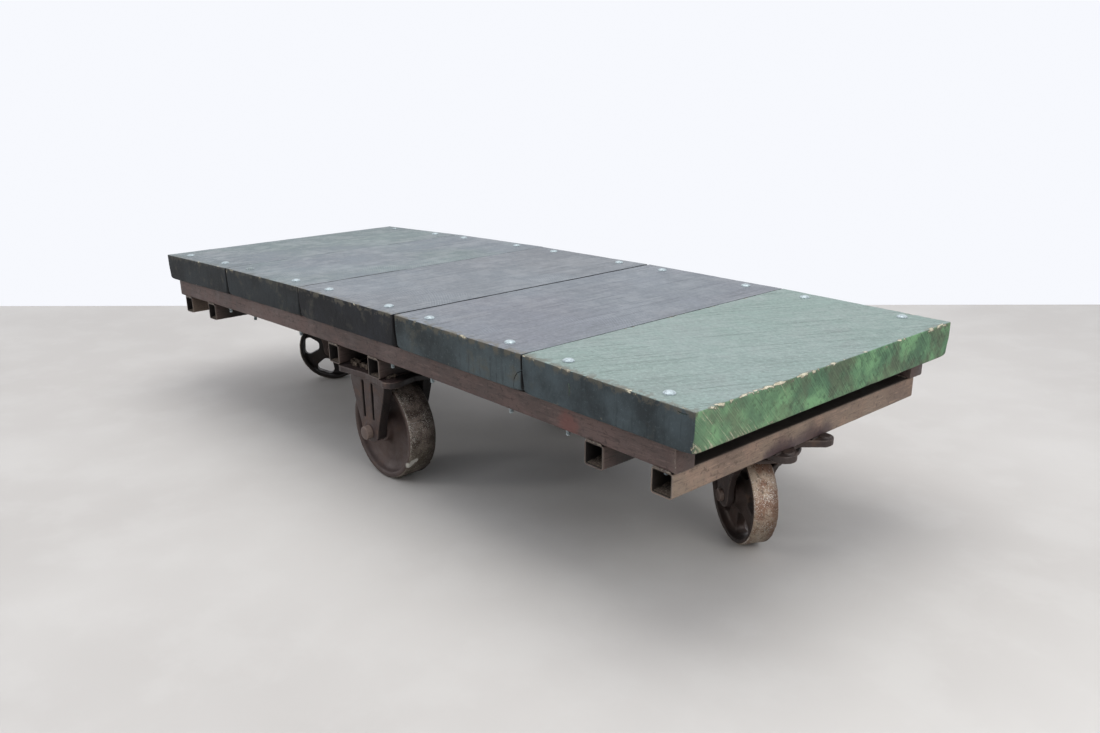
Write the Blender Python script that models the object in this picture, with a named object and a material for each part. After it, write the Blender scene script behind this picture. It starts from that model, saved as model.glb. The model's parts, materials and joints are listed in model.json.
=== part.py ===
"""Low platform truck: five timber planks on a welded tube frame, with two rigid and two swivel casters.

Metres, +X along the deck, +Y across it, +Z up. The floor is z = 0, under the middle of the deck.
"""

import math

import bmesh
import bpy
from mathutils import Matrix, Vector

GAP = 0.0003

# Deck
DECK_TOP = 0.415
DECK_LENGTH = 1.980
DECK_WIDTH = 0.762
PLANK_THICKNESS = 0.0704
CROWN = 0.0164
SEAMS = [-0.9900, -0.5960, -0.2015, 0.1995, 0.6000, 0.9900]
SEAM_GAPS = [0.0, 0.0018, 0.0022, 0.0050, 0.0030, 0.0]
PLANK_REACH = [(0.381, 0.379), (0.380, 0.381), (0.381, 0.378), (0.3795, 0.380), (0.381, 0.381)]
PLANK_EDGE = 0.003

# Deck bolts
BOLT_X = [-0.905, -0.674, -0.524, -0.276, -0.118, 0.130, 0.277, 0.527, 0.682, 0.907]
BOLT_INSET_NEAR = 0.0365
BOLT_INSET_FAR = 0.0375
BOLT_RADIUS = 0.0040
BOLT_HOLE = 0.0045
HEAD_RADIUS = 0.0107
HEAD_HEIGHT = 0.0042
BOLT_LENGTH = 0.135

# Frame
RAIL = 0.045
RAIL_WALL = 0.0035
RAIL_INSET_NEAR = 0.012
RAIL_INSET_FAR = 0.008
RAIL_START = -0.950
RAIL_END = 0.9435
CROSS = 0.044
CROSS_WALL = 0.003
CROSS_Y = (-0.369, 0.353)
CROSS_X = [-0.8980, -0.7400, -0.0770, 0.0900, 0.7660, 0.9150]

# Rigid casters
RIGID_X = 0.042
RIGID_Y = 0.2955
RIGID_RADIUS = 0.117
RIGID_WIDTH = 0.070
RIGID_HUB = 0.076
RIGID_LEG_IN = 0.040
RIGID_LEG_OUT = 0.064
RIGID_PLATE = 0.014
RIGID_AXLE = 0.0095

# Swivel casters
SWIVELS = {
    "right": {"x": 0.838, "y": -0.020, "turn": -28.0, "trail": -0.046, "wheel_turn": 0.0},
    "left": {"x": -0.772, "y": -0.042, "turn": 55.0, "trail": 0.046, "wheel_turn": 39.5},
}
END_RADIUS = 0.0985
END_WIDTH = 0.051
END_HUB = 0.058
END_LEG_IN = 0.031
END_LEG_OUT = 0.045
END_AXLE = 0.008
SWIVEL_PLATE = 0.014
RACE_RADIUS = 0.080
RACE_SPACE = 0.006
CROWN_TOP = 0.2150
CROWN_BOTTOM = 0.2020
KINGPIN = 0.0125

COLOURS = {
    "charcoal_paint": ((0.13, 0.14, 0.16), 0.0, 0.75),
    "green_paint": ((0.30, 0.38, 0.32), 0.0, 0.75),
    "oxide_steel": ((0.20, 0.13, 0.11), 0.4, 0.65),
    "cast_iron": ((0.11, 0.09, 0.08), 0.6, 0.60),
    "zinc": ((0.75, 0.76, 0.78), 1.0, 0.30),
    "bearing_steel": ((0.35, 0.34, 0.32), 1.0, 0.40),
    "bushing": ((0.28, 0.22, 0.14), 0.8, 0.45),
}


def clear_scene():
    for obj in list(bpy.data.objects):
        bpy.data.objects.remove(obj, do_unlink=True)


def make_collection(name):
    collection = bpy.data.collections.new(name)
    bpy.context.scene.collection.children.link(collection)
    return collection


def crown(x):
    """Height lost at x, as the frame has sagged at both ends."""
    return CROWN * (2 * x / DECK_LENGTH) ** 2


def slope(x):
    """Turn about Y that lays a flat piece along the frame at x."""
    return math.atan(8 * CROWN * x / DECK_LENGTH**2)


def material(name):
    colour, metallic, roughness = COLOURS[name]
    made = bpy.data.materials.new(name)
    made.use_nodes = True
    shader = made.node_tree.nodes["Principled BSDF"]
    shader.inputs["Base Color"].default_value = (*colour, 1.0)
    shader.inputs["Metallic"].default_value = metallic
    shader.inputs["Roughness"].default_value = roughness
    return made


def empty(name, location, rotation=(0, 0, 0), parent=None):
    obj = bpy.data.objects.new(name, None)
    obj.location = location
    obj.rotation_euler = rotation
    obj.parent = parent
    TRUCK.objects.link(obj)
    return obj


def node(name, bm, colour, location=(0, 0, 0), rotation=(0, 0, 0), parent=None, smooth=None):
    """A named sub-part from a bmesh, with a material of its own."""
    bmesh.ops.recalc_face_normals(bm, faces=bm.faces)
    mesh = bpy.data.meshes.new(name)
    bm.to_mesh(mesh)
    bm.free()
    made = material(colour)
    made.name = f"{name}_{colour}"
    mesh.materials.append(made)
    if smooth:
        mesh.shade_smooth()
        mesh.set_sharp_from_angle(angle=math.radians(smooth))
    obj = bpy.data.objects.new(name, mesh)
    obj.location = location
    obj.rotation_euler = rotation
    obj.parent = parent
    TRUCK.objects.link(obj)
    return obj


def tool(target, bm, operation, label):
    """A hidden operand that rides on its target, and the Boolean that uses it."""
    bmesh.ops.recalc_face_normals(bm, faces=bm.faces)
    name = f"tool_{target.name}_{label}"
    mesh = bpy.data.meshes.new(name)
    bm.to_mesh(mesh)
    bm.free()
    obj = bpy.data.objects.new(name, mesh)
    obj.parent = target
    obj.hide_render = True
    obj.display_type = "WIRE"
    TOOLS.objects.link(obj)
    modifier = target.modifiers.new(label, "BOOLEAN")
    modifier.object = obj
    modifier.operation = operation
    modifier.solver = "EXACT"
    return obj


def loft(sections, ring=False):
    """Bridges equal loops of points in order. A ring joins the last to the first, or both ends close."""
    bm = bmesh.new()
    loops = [[bm.verts.new(point) for point in section] for section in sections]
    pairs = list(zip(loops, loops[1:]))
    if ring:
        pairs.append((loops[-1], loops[0]))
    for first, second in pairs:
        for i in range(len(first)):
            j = (i + 1) % len(first)
            bm.faces.new((first[i], first[j], second[j], second[i]))
    if not ring:
        bm.faces.new(loops[0])
        bm.faces.new(loops[-1])
    return bm


def spun(profile, segments, ring=False):
    """(radius, height, sides) points turned about Z. Six sides make a hexagon, radius to its flats."""
    sections = []
    for radius, height, sides in profile:
        section = []
        for i in range(segments):
            angle = 2 * math.pi * i / segments
            reach = radius
            if sides:
                step = 2 * math.pi / sides
                reach = radius / math.cos((angle + step / 2) % step - step / 2)
            section.append((reach * math.cos(angle), reach * math.sin(angle), height))
        sections.append(section)
    return loft(sections, ring)


def turn_to_y(bm):
    """Lays a piece that was spun about Z along Y."""
    turn = Matrix.Rotation(math.radians(-90), 3, "X")
    bmesh.ops.rotate(bm, verts=bm.verts, cent=(0, 0, 0), matrix=turn)
    return bm


def cylinder(radius, start, end, segments=22, along_y=False):
    bm = spun([(radius, start, 0), (radius, end, 0)], segments)
    return turn_to_y(bm) if along_y else bm


def shifted(bm, offset):
    bmesh.ops.translate(bm, verts=bm.verts, vec=offset)
    return bm


def prism(outline, low, high, plane="XY"):
    """A flat outline given thickness: in XY between two heights, or in XZ between two depths."""
    def at(point, depth):
        return (point[0], point[1], depth) if plane == "XY" else (point[0], depth, point[1])

    return loft([[at(p, low) for p in outline], [at(p, high) for p in outline]])


def round_square(size, radius, steps=2):
    """A square outline with rounded corners, in order round its centre."""
    points = []
    reach = size / 2 - radius
    for corner in range(4):
        centre = [(1, 1), (-1, 1), (-1, -1), (1, -1)][corner]
        for i in range(steps + 1):
            angle = math.radians(90 * corner + 90 * i / steps)
            x = centre[0] * reach + radius * math.cos(angle)
            points.append((x, centre[1] * reach + radius * math.sin(angle)))
    return points


def softened(bm, width):
    """Chamfers every sharp edge of a block."""
    least = math.radians(40)
    sharp = [e for e in bm.edges if len(e.link_faces) == 2 and e.calc_face_angle(0) > least]
    bmesh.ops.bevel(
        bm, geom=sharp, offset=width, segments=2, profile=0.5, affect="EDGES", clamp_overlap=True
    )
    return bm


def plank_frame(index):
    """Centre of a plank's top, and its turn about Y."""
    middle = (SEAMS[index] + SEAMS[index + 1]) / 2
    return Vector((middle, 0, DECK_TOP - crown(middle))), slope(middle)


def bolt_places():
    """Label, plank index, place in the plank's own frame, for all twenty deck bolts."""
    for i, x in enumerate(BOLT_X):
        plank = i // 2
        origin, turn = plank_frame(plank)
        along = (x - origin.x) / math.cos(turn)
        yield f"near_{i + 1:02d}", plank, Vector((along, -DECK_WIDTH / 2 + BOLT_INSET_NEAR, 0))
        yield f"far_{i + 1:02d}", plank, Vector((along, DECK_WIDTH / 2 - BOLT_INSET_FAR, 0))


def bolt_matrix(plank, place):
    origin, turn = plank_frame(plank)
    return Matrix.Translation(origin) @ Matrix.Rotation(turn, 4, "Y") @ Matrix.Translation(place)


def merge_in(bm, other, matrix):
    """Adds a second bmesh, placed by a matrix."""
    other.transform(matrix)
    mesh = bpy.data.meshes.new("scratch")
    other.to_mesh(mesh)
    other.free()
    bm.from_mesh(mesh)
    bpy.data.meshes.remove(mesh)


def build_planks():
    for i in range(5):
        origin, turn = plank_frame(i)
        start = SEAMS[i] + SEAM_GAPS[i] / 2 - origin.x
        end = SEAMS[i + 1] - SEAM_GAPS[i + 1] / 2 - origin.x
        near, far = PLANK_REACH[i]
        outline = [(start, -near), (end, -near), (end, far), (start, far)]
        bm = softened(prism(outline, -PLANK_THICKNESS, 0), PLANK_EDGE)
        colour = "green_paint" if i == 4 else "charcoal_paint"
        plank = node(f"plank_{i + 1}", bm, colour, origin, (0, turn, 0), smooth=35)
        holes = bmesh.new()
        for _, index, place in bolt_places():
            if index == i:
                bore = cylinder(BOLT_HOLE, -0.1, 0.02, 12)
                merge_in(holes, bore, Matrix.Translation(place))
        tool(plank, holes, "DIFFERENCE", "bolt_holes")


def bolt_shape(grip):
    """Domed head on the deck, shank, hexagon nut and tail, as one piece."""
    dome = [(0.0048, HEAD_HEIGHT), (0.0087, 0.0028), (HEAD_RADIUS, GAP)]
    profile = [(r, z, 0) for r, z in dome]
    profile += [(BOLT_RADIUS, GAP, 0), (BOLT_RADIUS, -grip, 0)]
    profile += [(0.0063, -grip, 6), (0.0063, -grip - 0.0070, 6), (BOLT_RADIUS, -grip - 0.0070, 0)]
    profile += [(BOLT_RADIUS, -BOLT_LENGTH, 0)]
    return spun(profile, 12)


def build_deck_bolts():
    short_grip = PLANK_THICKNESS + RAIL + 0.0014
    for label, plank, place in bolt_places():
        grip = short_grip
        if label[-2:] in ("01", "10"):
            grip += CROSS_WALL + 0.0012
        matrix = bolt_matrix(plank, place)
        bolt = bolt_shape(grip)
        node(f"deck_bolt_{label}", bolt, "zinc", matrix.translation, matrix.to_euler(), smooth=40)


def rail_centre(x):
    return DECK_TOP - PLANK_THICKNESS - GAP - RAIL / 2 - crown(x)


def build_rail(name, y, side):
    """A long square tube that follows the deck's crown, with a plate closing each end."""
    def section(outline, x):
        turn = slope(x)
        return [(x + v * math.sin(turn), u, rail_centre(x) + v * math.cos(turn)) for u, v in outline]

    outer = round_square(RAIL, 0.005)
    inner = round_square(RAIL - 2 * RAIL_WALL, 0.002)
    stations = [RAIL_START + (RAIL_END - RAIL_START) * i / 8 for i in range(9)]
    bm = loft([section(outer, x) for x in stations])
    rail = node(name, bm, "oxide_steel", (0, y, 0), smooth=35)
    inside = [RAIL_START + RAIL_WALL] + stations[1:-1] + [RAIL_END - RAIL_WALL]
    tool(rail, loft([section(inner, x) for x in inside]), "DIFFERENCE", "inside")
    holes = bmesh.new()
    for label, plank, place in bolt_places():
        if label.startswith(side):
            bore = cylinder(BOLT_HOLE + 0.0003, -0.19, 0.02, 10)
            merge_in(holes, bore, Matrix.Translation((0, -y, 0)) @ bolt_matrix(plank, place))
    tool(rail, holes, "DIFFERENCE", "bolt_holes")


def cross_centre(x):
    return rail_centre(x) - RAIL / 2 - 0.0005 - CROSS / 2


def build_crossmembers():
    """Six open square tubes welded under the rails, in three pairs."""
    for i, x in enumerate(CROSS_X):
        outside, inside = round_square(CROSS, 0.005), round_square(CROSS - 2 * CROSS_WALL, 0.002)
        outer = [[(u, y, v) for u, v in outside] for y in CROSS_Y]
        inner = [[(u, y, v) for u, v in inside] for y in CROSS_Y]
        bm = loft([outer[0], outer[1], inner[1], inner[0]], ring=True)
        place, turn = (x, 0, cross_centre(x)), (0, slope(x), 0)
        tube = node(f"crossmember_{i + 1}", bm, "oxide_steel", place, turn, smooth=35)
        if i not in (0, 5):
            continue
        holes = bmesh.new()
        back = tube.matrix_basis.inverted()
        for label, plank, place in bolt_places():
            if label[-2:] == ("01" if i == 0 else "10"):
                bore = cylinder(BOLT_HOLE + 0.0006, -0.135, 0.02, 12)
                merge_in(holes, bore, back @ bolt_matrix(plank, place))
        tool(tube, holes, "DIFFERENCE", "bolt_holes")


def ear_outline(ear_x, ear_y, ear_radius, waist_x, waist_y):
    """A cast plate's outline: four rounded ears, drawn in between them."""
    points = []
    for quadrant, (sx, sy) in enumerate([(1, 1), (-1, 1), (-1, -1), (1, -1)]):
        turns = range(-30, 121, 25)
        if quadrant % 2:
            turns = reversed(turns)
        for degrees in turns:
            angle = math.radians(degrees)
            x = ear_x + ear_radius * math.cos(angle)
            y = ear_y + ear_radius * math.sin(angle)
            points.append((sx * x, sy * y))
        points.append([(0, waist_y), (-waist_x, 0), (0, -waist_y), (waist_x, 0)][quadrant])
    return points


def ear_holes(ear_x, ear_y, radius, low, high):
    bm = bmesh.new()
    for sx in (-1, 1):
        for sy in (-1, 1):
            hole = cylinder(radius, low, high, 14)
            merge_in(bm, hole, Matrix.Translation((sx * ear_x, sy * ear_y, 0)))
    return bm


def arc(centre, radius, start, end, steps):
    points = []
    for i in range(steps + 1):
        angle = math.radians(start + (end - start) * i / steps)
        points.append((centre[0] + radius * math.cos(angle), centre[1] + radius * math.sin(angle)))
    return points


def leg_spans(inner, outer):
    """The two legs either side of a wheel, as depths along Y."""
    return (("outer_leg", -outer, -inner), ("inner_leg", inner, outer))


def rigid_plate_top():
    return cross_centre(CROSS_X[3]) - CROSS / 2 - 0.0006


def build_rigid_caster(name, side):
    """Cast yoke with four ears and two ribbed legs, wheel, bushing, axle. side is -1 near, 1 far."""
    base = empty(f"rigid_{name}", (RIGID_X, side * RIGID_Y, 0), (0, 0, 0 if side < 0 else math.pi))
    top = rigid_plate_top()
    low = top - RIGID_PLATE
    plate = softened(prism(ear_outline(0.088, 0.053, 0.024, 0.095, 0.066), low, top), 0.002)
    yoke = node(f"rigid_yoke_{name}", plate, "cast_iron", parent=base, smooth=35)
    leg = [(-0.073, low + 0.004), (0.073, low + 0.004), (0.064, low - 0.030), (0.0345, RIGID_RADIUS + 0.010)]
    leg += [(x, RIGID_RADIUS + 0.67 * z) for x, z in arc((0, 0), 0.033, 5, -185, 12)]
    leg += [(-0.0345, RIGID_RADIUS + 0.010), (-0.064, low - 0.030)]
    for label, inner, outer in leg_spans(RIGID_LEG_IN, RIGID_LEG_OUT):
        tool(yoke, softened(prism(leg, inner, outer, "XZ"), 0.002), "UNION", label)
    grooves = bmesh.new()
    for sign in (-1, 1):
        for x in (-0.019, 0.019):
            foot = RIGID_RADIUS + 0.030
            slot = [(x - 0.0045, low - 0.006), (x + 0.0045, low - 0.006)]
            slot += [(x * 0.93 + 0.0035, foot), (x * 0.93 - 0.0035, foot)]
            cut = sorted((sign * (RIGID_LEG_OUT - 0.011), sign * (RIGID_LEG_OUT + 0.01)))
            merge_in(grooves, prism(slot, cut[0], cut[1], "XZ"), Matrix.Identity(4))
    tool(yoke, grooves, "DIFFERENCE", "grooves")
    bore = shifted(cylinder(RIGID_AXLE + GAP, -0.09, 0.09, 24, True), (0, 0, RIGID_RADIUS))
    tool(yoke, bore, "DIFFERENCE", "axle_bore")
    tool(yoke, ear_holes(0.088, 0.053, 0.007, low - 0.01, top + 0.01), "DIFFERENCE", "ear_holes")

    axle_at = empty(f"rigid_spin_{name}", (0, 0, RIGID_RADIUS), parent=base)
    node(f"rigid_wheel_{name}", turn_to_y(solid_wheel()), "cast_iron", parent=axle_at, smooth=30)
    build_bushing(f"rigid_bushing_{name}", RIGID_AXLE, RIGID_HUB, axle_at)
    names = f"rigid_axle_{name}", f"rigid_nut_{name}"
    build_axle(*names, RIGID_AXLE, RIGID_LEG_OUT, 0.0148, 0.016, axle_at)


def solid_wheel():
    """Wide flat tread, deep rim and a dished disc running in to the hub, as a ring about Z."""
    half, rim, hub = RIGID_WIDTH / 2, RIGID_RADIUS, RIGID_HUB / 2
    bore = RIGID_AXLE + 0.0040 + 2 * GAP
    side = [(rim, half - 0.004), (rim - 0.003, half), (rim - 0.011, half)]
    side += [(0.088, 0.015), (0.060, 0.011), (0.038, 0.015), (0.027, hub), (bore, hub)]
    profile = [(r, z, 0) for r, z in side] + [(r, -z, 0) for r, z in reversed(side)]
    return spun(profile, 32, ring=True)


def build_bushing(name, axle, length, parent):
    inner = axle + GAP
    outer = axle + 0.0040 + GAP
    half = length / 2
    profile = [(outer, half, 0), (outer, -half, 0), (inner, -half, 0), (inner, half, 0)]
    node(name, turn_to_y(spun(profile, 18, ring=True)), "bushing", parent=parent, smooth=35)


def build_axle(bolt_name, nut_name, radius, leg_out, flats, head, parent):
    """A bolt through both legs with its hexagon head on the -Y side, and its nut on the other."""
    face = leg_out + GAP
    tail = face + head + 0.006
    end = [(flats - 0.002, face + head, 0), (flats, face + head - 0.0015, 6)]
    profile = end + [(flats, face, 6), (radius, face, 0)]
    profile += [(radius, -tail + 0.0015, 0), (radius - 0.0015, -tail, 0)]
    flipped = spun([(r, -z, s) for r, z, s in profile], 18)
    node(bolt_name, turn_to_y(flipped), "cast_iron", parent=parent, smooth=35)
    inner = radius + GAP
    nut = [(inner, face, 0), (inner, face + head, 0)] + end + [(flats, face, 6)]
    node(nut_name, turn_to_y(spun(nut, 18, ring=True)), "cast_iron", parent=parent, smooth=35)


def swivel_plane(x_first, x_second, x):
    """Height and turn of the flat top that touches two crossmembers from below."""
    first = cross_centre(x_first) - CROSS / 2
    second = cross_centre(x_second) - CROSS / 2
    rise = (second - first) / (x_second - x_first)
    return first + rise * (x - x_first) - 0.0008, -math.atan(rise)


def build_swivel_plate(name, x, y, top, tilt):
    """Four ears that lie along the frame, over a level round race."""
    place = empty(f"swivel_mount_{name}", (x, y, 0))
    bm = softened(prism(ear_outline(0.096, 0.056, 0.024, 0.075, 0.075), -SWIVEL_PLATE, 0), 0.002)
    bm.transform(Matrix.Translation((0, 0, top)) @ Matrix.Rotation(tilt, 4, "Y"))
    plate = node(f"swivel_plate_{name}", bm, "cast_iron", parent=place, smooth=35)
    low = CROWN_TOP + RACE_SPACE
    race = [(RACE_RADIUS - 0.002, low, 0), (RACE_RADIUS, low + 0.002, 0)]
    race += [(RACE_RADIUS, top - 0.0082, 0), (RACE_RADIUS - 0.0043, top - 0.0053, 0)]
    race = spun(race, 36)
    tool(plate, race, "UNION", "race")
    tool(plate, cylinder(KINGPIN + GAP, 0.2, 0.26), "DIFFERENCE", "kingpin_bore")
    tool(plate, cylinder(0.0183, top - 0.007, 0.26), "DIFFERENCE", "kingpin_seat")
    holes = ear_holes(0.096, 0.056, 0.007, -0.03, 0.01)
    holes.transform(Matrix.Translation((0, 0, top)) @ Matrix.Rotation(tilt, 4, "Y"))
    tool(plate, holes, "DIFFERENCE", "ear_holes")
    seat = CROWN_BOTTOM + 0.0065
    pin = [(0.019, CROWN_BOTTOM + 0.001, 0), (0.019, seat, 0), (KINGPIN, seat, 0)]
    pin += [(KINGPIN, top - 0.0067, 0), (0.018, top - 0.0067, 0), (0.018, top - 0.0018, 0)]
    node(f"kingpin_{name}", spun(pin, 18), "bearing_steel", parent=place, smooth=35)


def leg_outline(trail):
    """Side of a fork leg in its own frame: kingpin at zero, axle at the trail."""
    back = 1 if trail > 0 else -1
    high = CROWN_BOTTOM + 0.004
    front = [(-0.058, high), (-0.044, 0.192), (-0.022, 0.178), (-0.004, 0.164)]
    front += [(0.008, 0.148), (0.015, 0.134), (0.020, 0.118)]
    points = [(x * back, z) for x, z in front]
    around = arc((trail, END_RADIUS), 0.024, 170, 370, 10)
    points += around if back > 0 else arc((trail, END_RADIUS), 0.024, 10, -190, 10)
    points += [(0.073 * back, 0.125), (0.075 * back, 0.150), (0.072 * back, 0.180), (0.066 * back, high)]
    return points


def build_fork(name, trail, swivel):
    """Round crown with a race on top, and two flat cast legs swept back to the axle."""
    race = [(RACE_RADIUS - 0.003, CROWN_TOP, 0), (RACE_RADIUS, CROWN_TOP - 0.003, 0)]
    race += [(RACE_RADIUS, CROWN_TOP - 0.008, 0), (RACE_RADIUS - 0.008, CROWN_BOTTOM, 0)]
    race = spun(race, 32)
    fork = node(f"fork_{name}", race, "cast_iron", parent=swivel, smooth=35)
    for label, inner, outer in leg_spans(END_LEG_IN, END_LEG_OUT):
        tool(fork, softened(prism(leg_outline(trail), inner, outer, "XZ"), 0.0015), "UNION", label)
    tool(fork, cylinder(KINGPIN + GAP, 0.19, 0.23), "DIFFERENCE", "kingpin_bore")
    tool(fork, cylinder(0.0193, 0.19, CROWN_BOTTOM + 0.0068), "DIFFERENCE", "kingpin_seat")
    bore = shifted(cylinder(END_AXLE + GAP, -0.09, 0.09, 24, True), (trail, 0, END_RADIUS))
    tool(fork, bore, "DIFFERENCE", "axle_bore")


def window_outline():
    """One opening of the spoked wheel, in the wheel's own plane: broad at the rim, narrow at the hub."""
    outline = arc((0.0705, 0.0125), 0.0130, 0, 112, 4) + arc((0.0520, 0.0045), 0.0105, 112, 180, 2)
    return outline + [(x, -y) for x, y in reversed(outline[:-1])][:-1]


def build_spoked_wheel(name, first, parent):
    """Narrower wheel: flat tread, rim, hub and five broad spokes with rounded openings between them."""
    half, rim, hub = END_WIDTH / 2, END_RADIUS, END_HUB / 2
    bore = END_AXLE + 0.0040 + 2 * GAP
    side = [(rim, half - 0.003), (rim - 0.002, half), (rim - 0.010, half)]
    side += [(0.083, 0.009), (0.036, 0.011), (0.026, hub), (bore, hub)]
    profile = [(r, z, 0) for r, z in side] + [(r, -z, 0) for r, z in reversed(side)]
    wheel = node(name, turn_to_y(spun(profile, 32, ring=True)), "cast_iron", parent=parent, smooth=30)
    openings = bmesh.new()
    for i in range(5):
        cut = prism(window_outline(), -0.05, 0.05, "XZ")
        merge_in(openings, cut, Matrix.Rotation(math.radians(first + 72 * i), 4, "Y"))
    tool(wheel, openings, "DIFFERENCE", "openings")


def build_swivel_caster(name):
    spot = SWIVELS[name]
    pair = (CROSS_X[4], CROSS_X[5]) if name == "right" else (CROSS_X[0], CROSS_X[1])
    top, tilt = swivel_plane(pair[0], pair[1], spot["x"])
    build_swivel_plate(name, spot["x"], spot["y"], top, tilt)
    swivel = empty(f"swivel_{name}", (spot["x"], spot["y"], 0), (0, 0, math.radians(spot["turn"])))
    middle = CROWN_TOP + RACE_SPACE / 2
    ring = [(radius, height, 0) for radius, height in arc((0.062, middle), 0.0026, 0, 270, 3)]
    node(f"ball_ring_{name}", spun(ring, 24, ring=True), "bearing_steel", parent=swivel, smooth=60)
    build_fork(name, spot["trail"], swivel)
    axle_at = empty(f"end_spin_{name}", (spot["trail"], 0, END_RADIUS), parent=swivel)
    build_spoked_wheel(f"end_wheel_{name}", spot["wheel_turn"], axle_at)
    build_bushing(f"end_bushing_{name}", END_AXLE, END_HUB, axle_at)
    names = f"end_axle_{name}", f"end_nut_{name}"
    build_axle(*names, END_AXLE, END_LEG_OUT, 0.012, 0.010, axle_at)


clear_scene()
TRUCK = make_collection("platform_truck")
TOOLS = make_collection("tools")
TOOLS.hide_render = True
build_planks()
build_deck_bolts()
build_rail("rail_near", -DECK_WIDTH / 2 + RAIL_INSET_NEAR + RAIL / 2, "near")
build_rail("rail_far", DECK_WIDTH / 2 - RAIL_INSET_FAR - RAIL / 2, "far")
build_crossmembers()
build_rigid_caster("near", -1)
build_rigid_caster("far", 1)
build_swivel_caster("left")
build_swivel_caster("right")
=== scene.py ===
"""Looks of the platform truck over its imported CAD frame. Metres, floor at z = 0, the green end at +X."""

import itertools
import json
import random
from math import atan, atan2, ceil, cos, dist, hypot, pi, radians, sin, sqrt

import bmesh
import bpy
import numpy as np
from mathutils import Matrix, Vector, noise


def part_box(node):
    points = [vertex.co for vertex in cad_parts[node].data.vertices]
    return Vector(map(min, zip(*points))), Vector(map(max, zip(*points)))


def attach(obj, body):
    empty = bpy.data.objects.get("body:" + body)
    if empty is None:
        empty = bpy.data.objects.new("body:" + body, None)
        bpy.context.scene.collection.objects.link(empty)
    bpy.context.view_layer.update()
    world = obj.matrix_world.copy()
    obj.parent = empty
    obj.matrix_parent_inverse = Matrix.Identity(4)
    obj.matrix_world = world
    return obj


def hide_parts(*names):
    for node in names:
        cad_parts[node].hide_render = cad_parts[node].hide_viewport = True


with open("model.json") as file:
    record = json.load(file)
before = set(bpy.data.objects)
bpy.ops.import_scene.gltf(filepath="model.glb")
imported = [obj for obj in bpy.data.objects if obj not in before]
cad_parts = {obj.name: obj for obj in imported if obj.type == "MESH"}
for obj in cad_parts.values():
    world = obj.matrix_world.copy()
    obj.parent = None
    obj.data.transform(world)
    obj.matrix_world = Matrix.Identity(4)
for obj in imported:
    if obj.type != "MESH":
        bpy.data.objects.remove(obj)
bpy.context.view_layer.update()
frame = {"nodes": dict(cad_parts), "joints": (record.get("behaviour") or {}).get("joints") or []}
NODES = frame["nodes"]
JOINTS = {joint["name"]: joint for joint in frame["joints"]}

PLANKS = [f"plank_{i}" for i in range(1, 6)]
GREEN_PLANK = 4
CROSSMEMBERS = [f"crossmember_{i}" for i in range(1, 7)]
SIDES = {"near": -1, "far": 1}
UP = Vector((0, 0, 1))


# ---------------------------------------------------------------- geometry helpers


def fbm(point, scale, octaves=3, seed=0.0):
    """Smooth noise, about -1 to 1, with features about 1/scale metres long."""
    place = Vector(point) * scale + Vector((seed * 7.31, seed * 3.17, seed * 5.03))
    return noise.fractal(place, 1.0, 2.0, octaves, noise_basis="PERLIN_ORIGINAL")


def smoothstep(low, high, value):
    t = min(1.0, max(0.0, (value - low) / (high - low)))
    return t * t * (3 - 2 * t)


def turns(count):
    """Evenly spaced angles round a full turn."""
    return [2 * pi * i / count for i in range(count)]


def spin_point(reach, depth, angle):
    """A point round the Y axis."""
    return reach * cos(angle), depth, reach * sin(angle)


def linked(name, data):
    obj = bpy.data.objects.new(name, data)
    bpy.context.scene.collection.objects.link(obj)
    return obj


def new_object(name, mesh, matrix=None, smooth=None):
    """An object made of (points, faces)."""
    data = bpy.data.meshes.new(name)
    data.from_pydata([tuple(p) for p in mesh[0]], [], mesh[1])
    data.validate()
    obj = linked(name, data)
    if matrix is not None:
        obj.matrix_world = matrix
    shade(obj, smooth)
    return obj


def shade(obj, smooth):
    if smooth is not None:
        obj.data.shade_smooth()
        obj.data.set_sharp_from_angle(angle=radians(smooth))


def solid(name, mesh, matrix=None, smooth=None):
    """A new object with all its faces turned outward."""
    obj = new_object(name, mesh, matrix)
    bm = bmesh.new()
    bm.from_mesh(obj.data)
    bmesh.ops.recalc_face_normals(bm, faces=bm.faces)
    bm.to_mesh(obj.data)
    bm.free()
    shade(obj, smooth)
    return obj


def attribute(obj, name, values):
    made = obj.data.attributes.new(name, "FLOAT", "POINT")
    made.data.foreach_set("value", np.asarray(values, np.float32))


def piece(obj, body, material, slot, *nodes):
    """Hangs a finished piece on its CAD body with its material, and hides the CAD parts that it stands for.
    """
    obj.data.materials.clear()
    obj.data.materials.append(material)
    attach(obj, body)
    if nodes:
        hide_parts(*nodes)


def frame_steel(obj, material, *nodes):
    piece(obj, "frame", material, "oxide_steel", *nodes)


def casting(obj, body, material, name):
    piece(obj, body, material, "cast_iron", name)


def joined(meshes):
    """Several (points, faces) put into one."""
    points, faces = [], []
    for more, polygons in meshes:
        start = len(points)
        points += more
        faces += [tuple(start + k for k in polygon) for polygon in polygons]
    return points, faces


def loops_mesh(loops, ring=False):
    """Points and quads of equal loops joined in order. Unless they form a ring, a polygon closes each end."""
    points = [p for loop in loops for p in loop]
    count, size = len(loops), len(loops[0])
    faces = []
    for i in range(count if ring else count - 1):
        a, b = i * size, ((i + 1) % count) * size
        for k in range(size):
            n = (k + 1) % size
            faces.append((a + k, a + n, b + n, b + k))
    if not ring:
        faces.append(tuple(reversed(range(size))))
        faces.append(tuple((count - 1) * size + k for k in range(size)))
    return points, faces


def round_square(size, radius, steps=5):
    points, reach = [], size / 2 - radius
    for corner, (sx, sy) in enumerate([(1, 1), (-1, 1), (-1, -1), (1, -1)]):
        for i in range(steps + 1):
            angle = radians(90 * corner + 90 * i / steps)
            points.append((sx * reach + radius * cos(angle), sy * reach + radius * sin(angle)))
    return points


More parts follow.
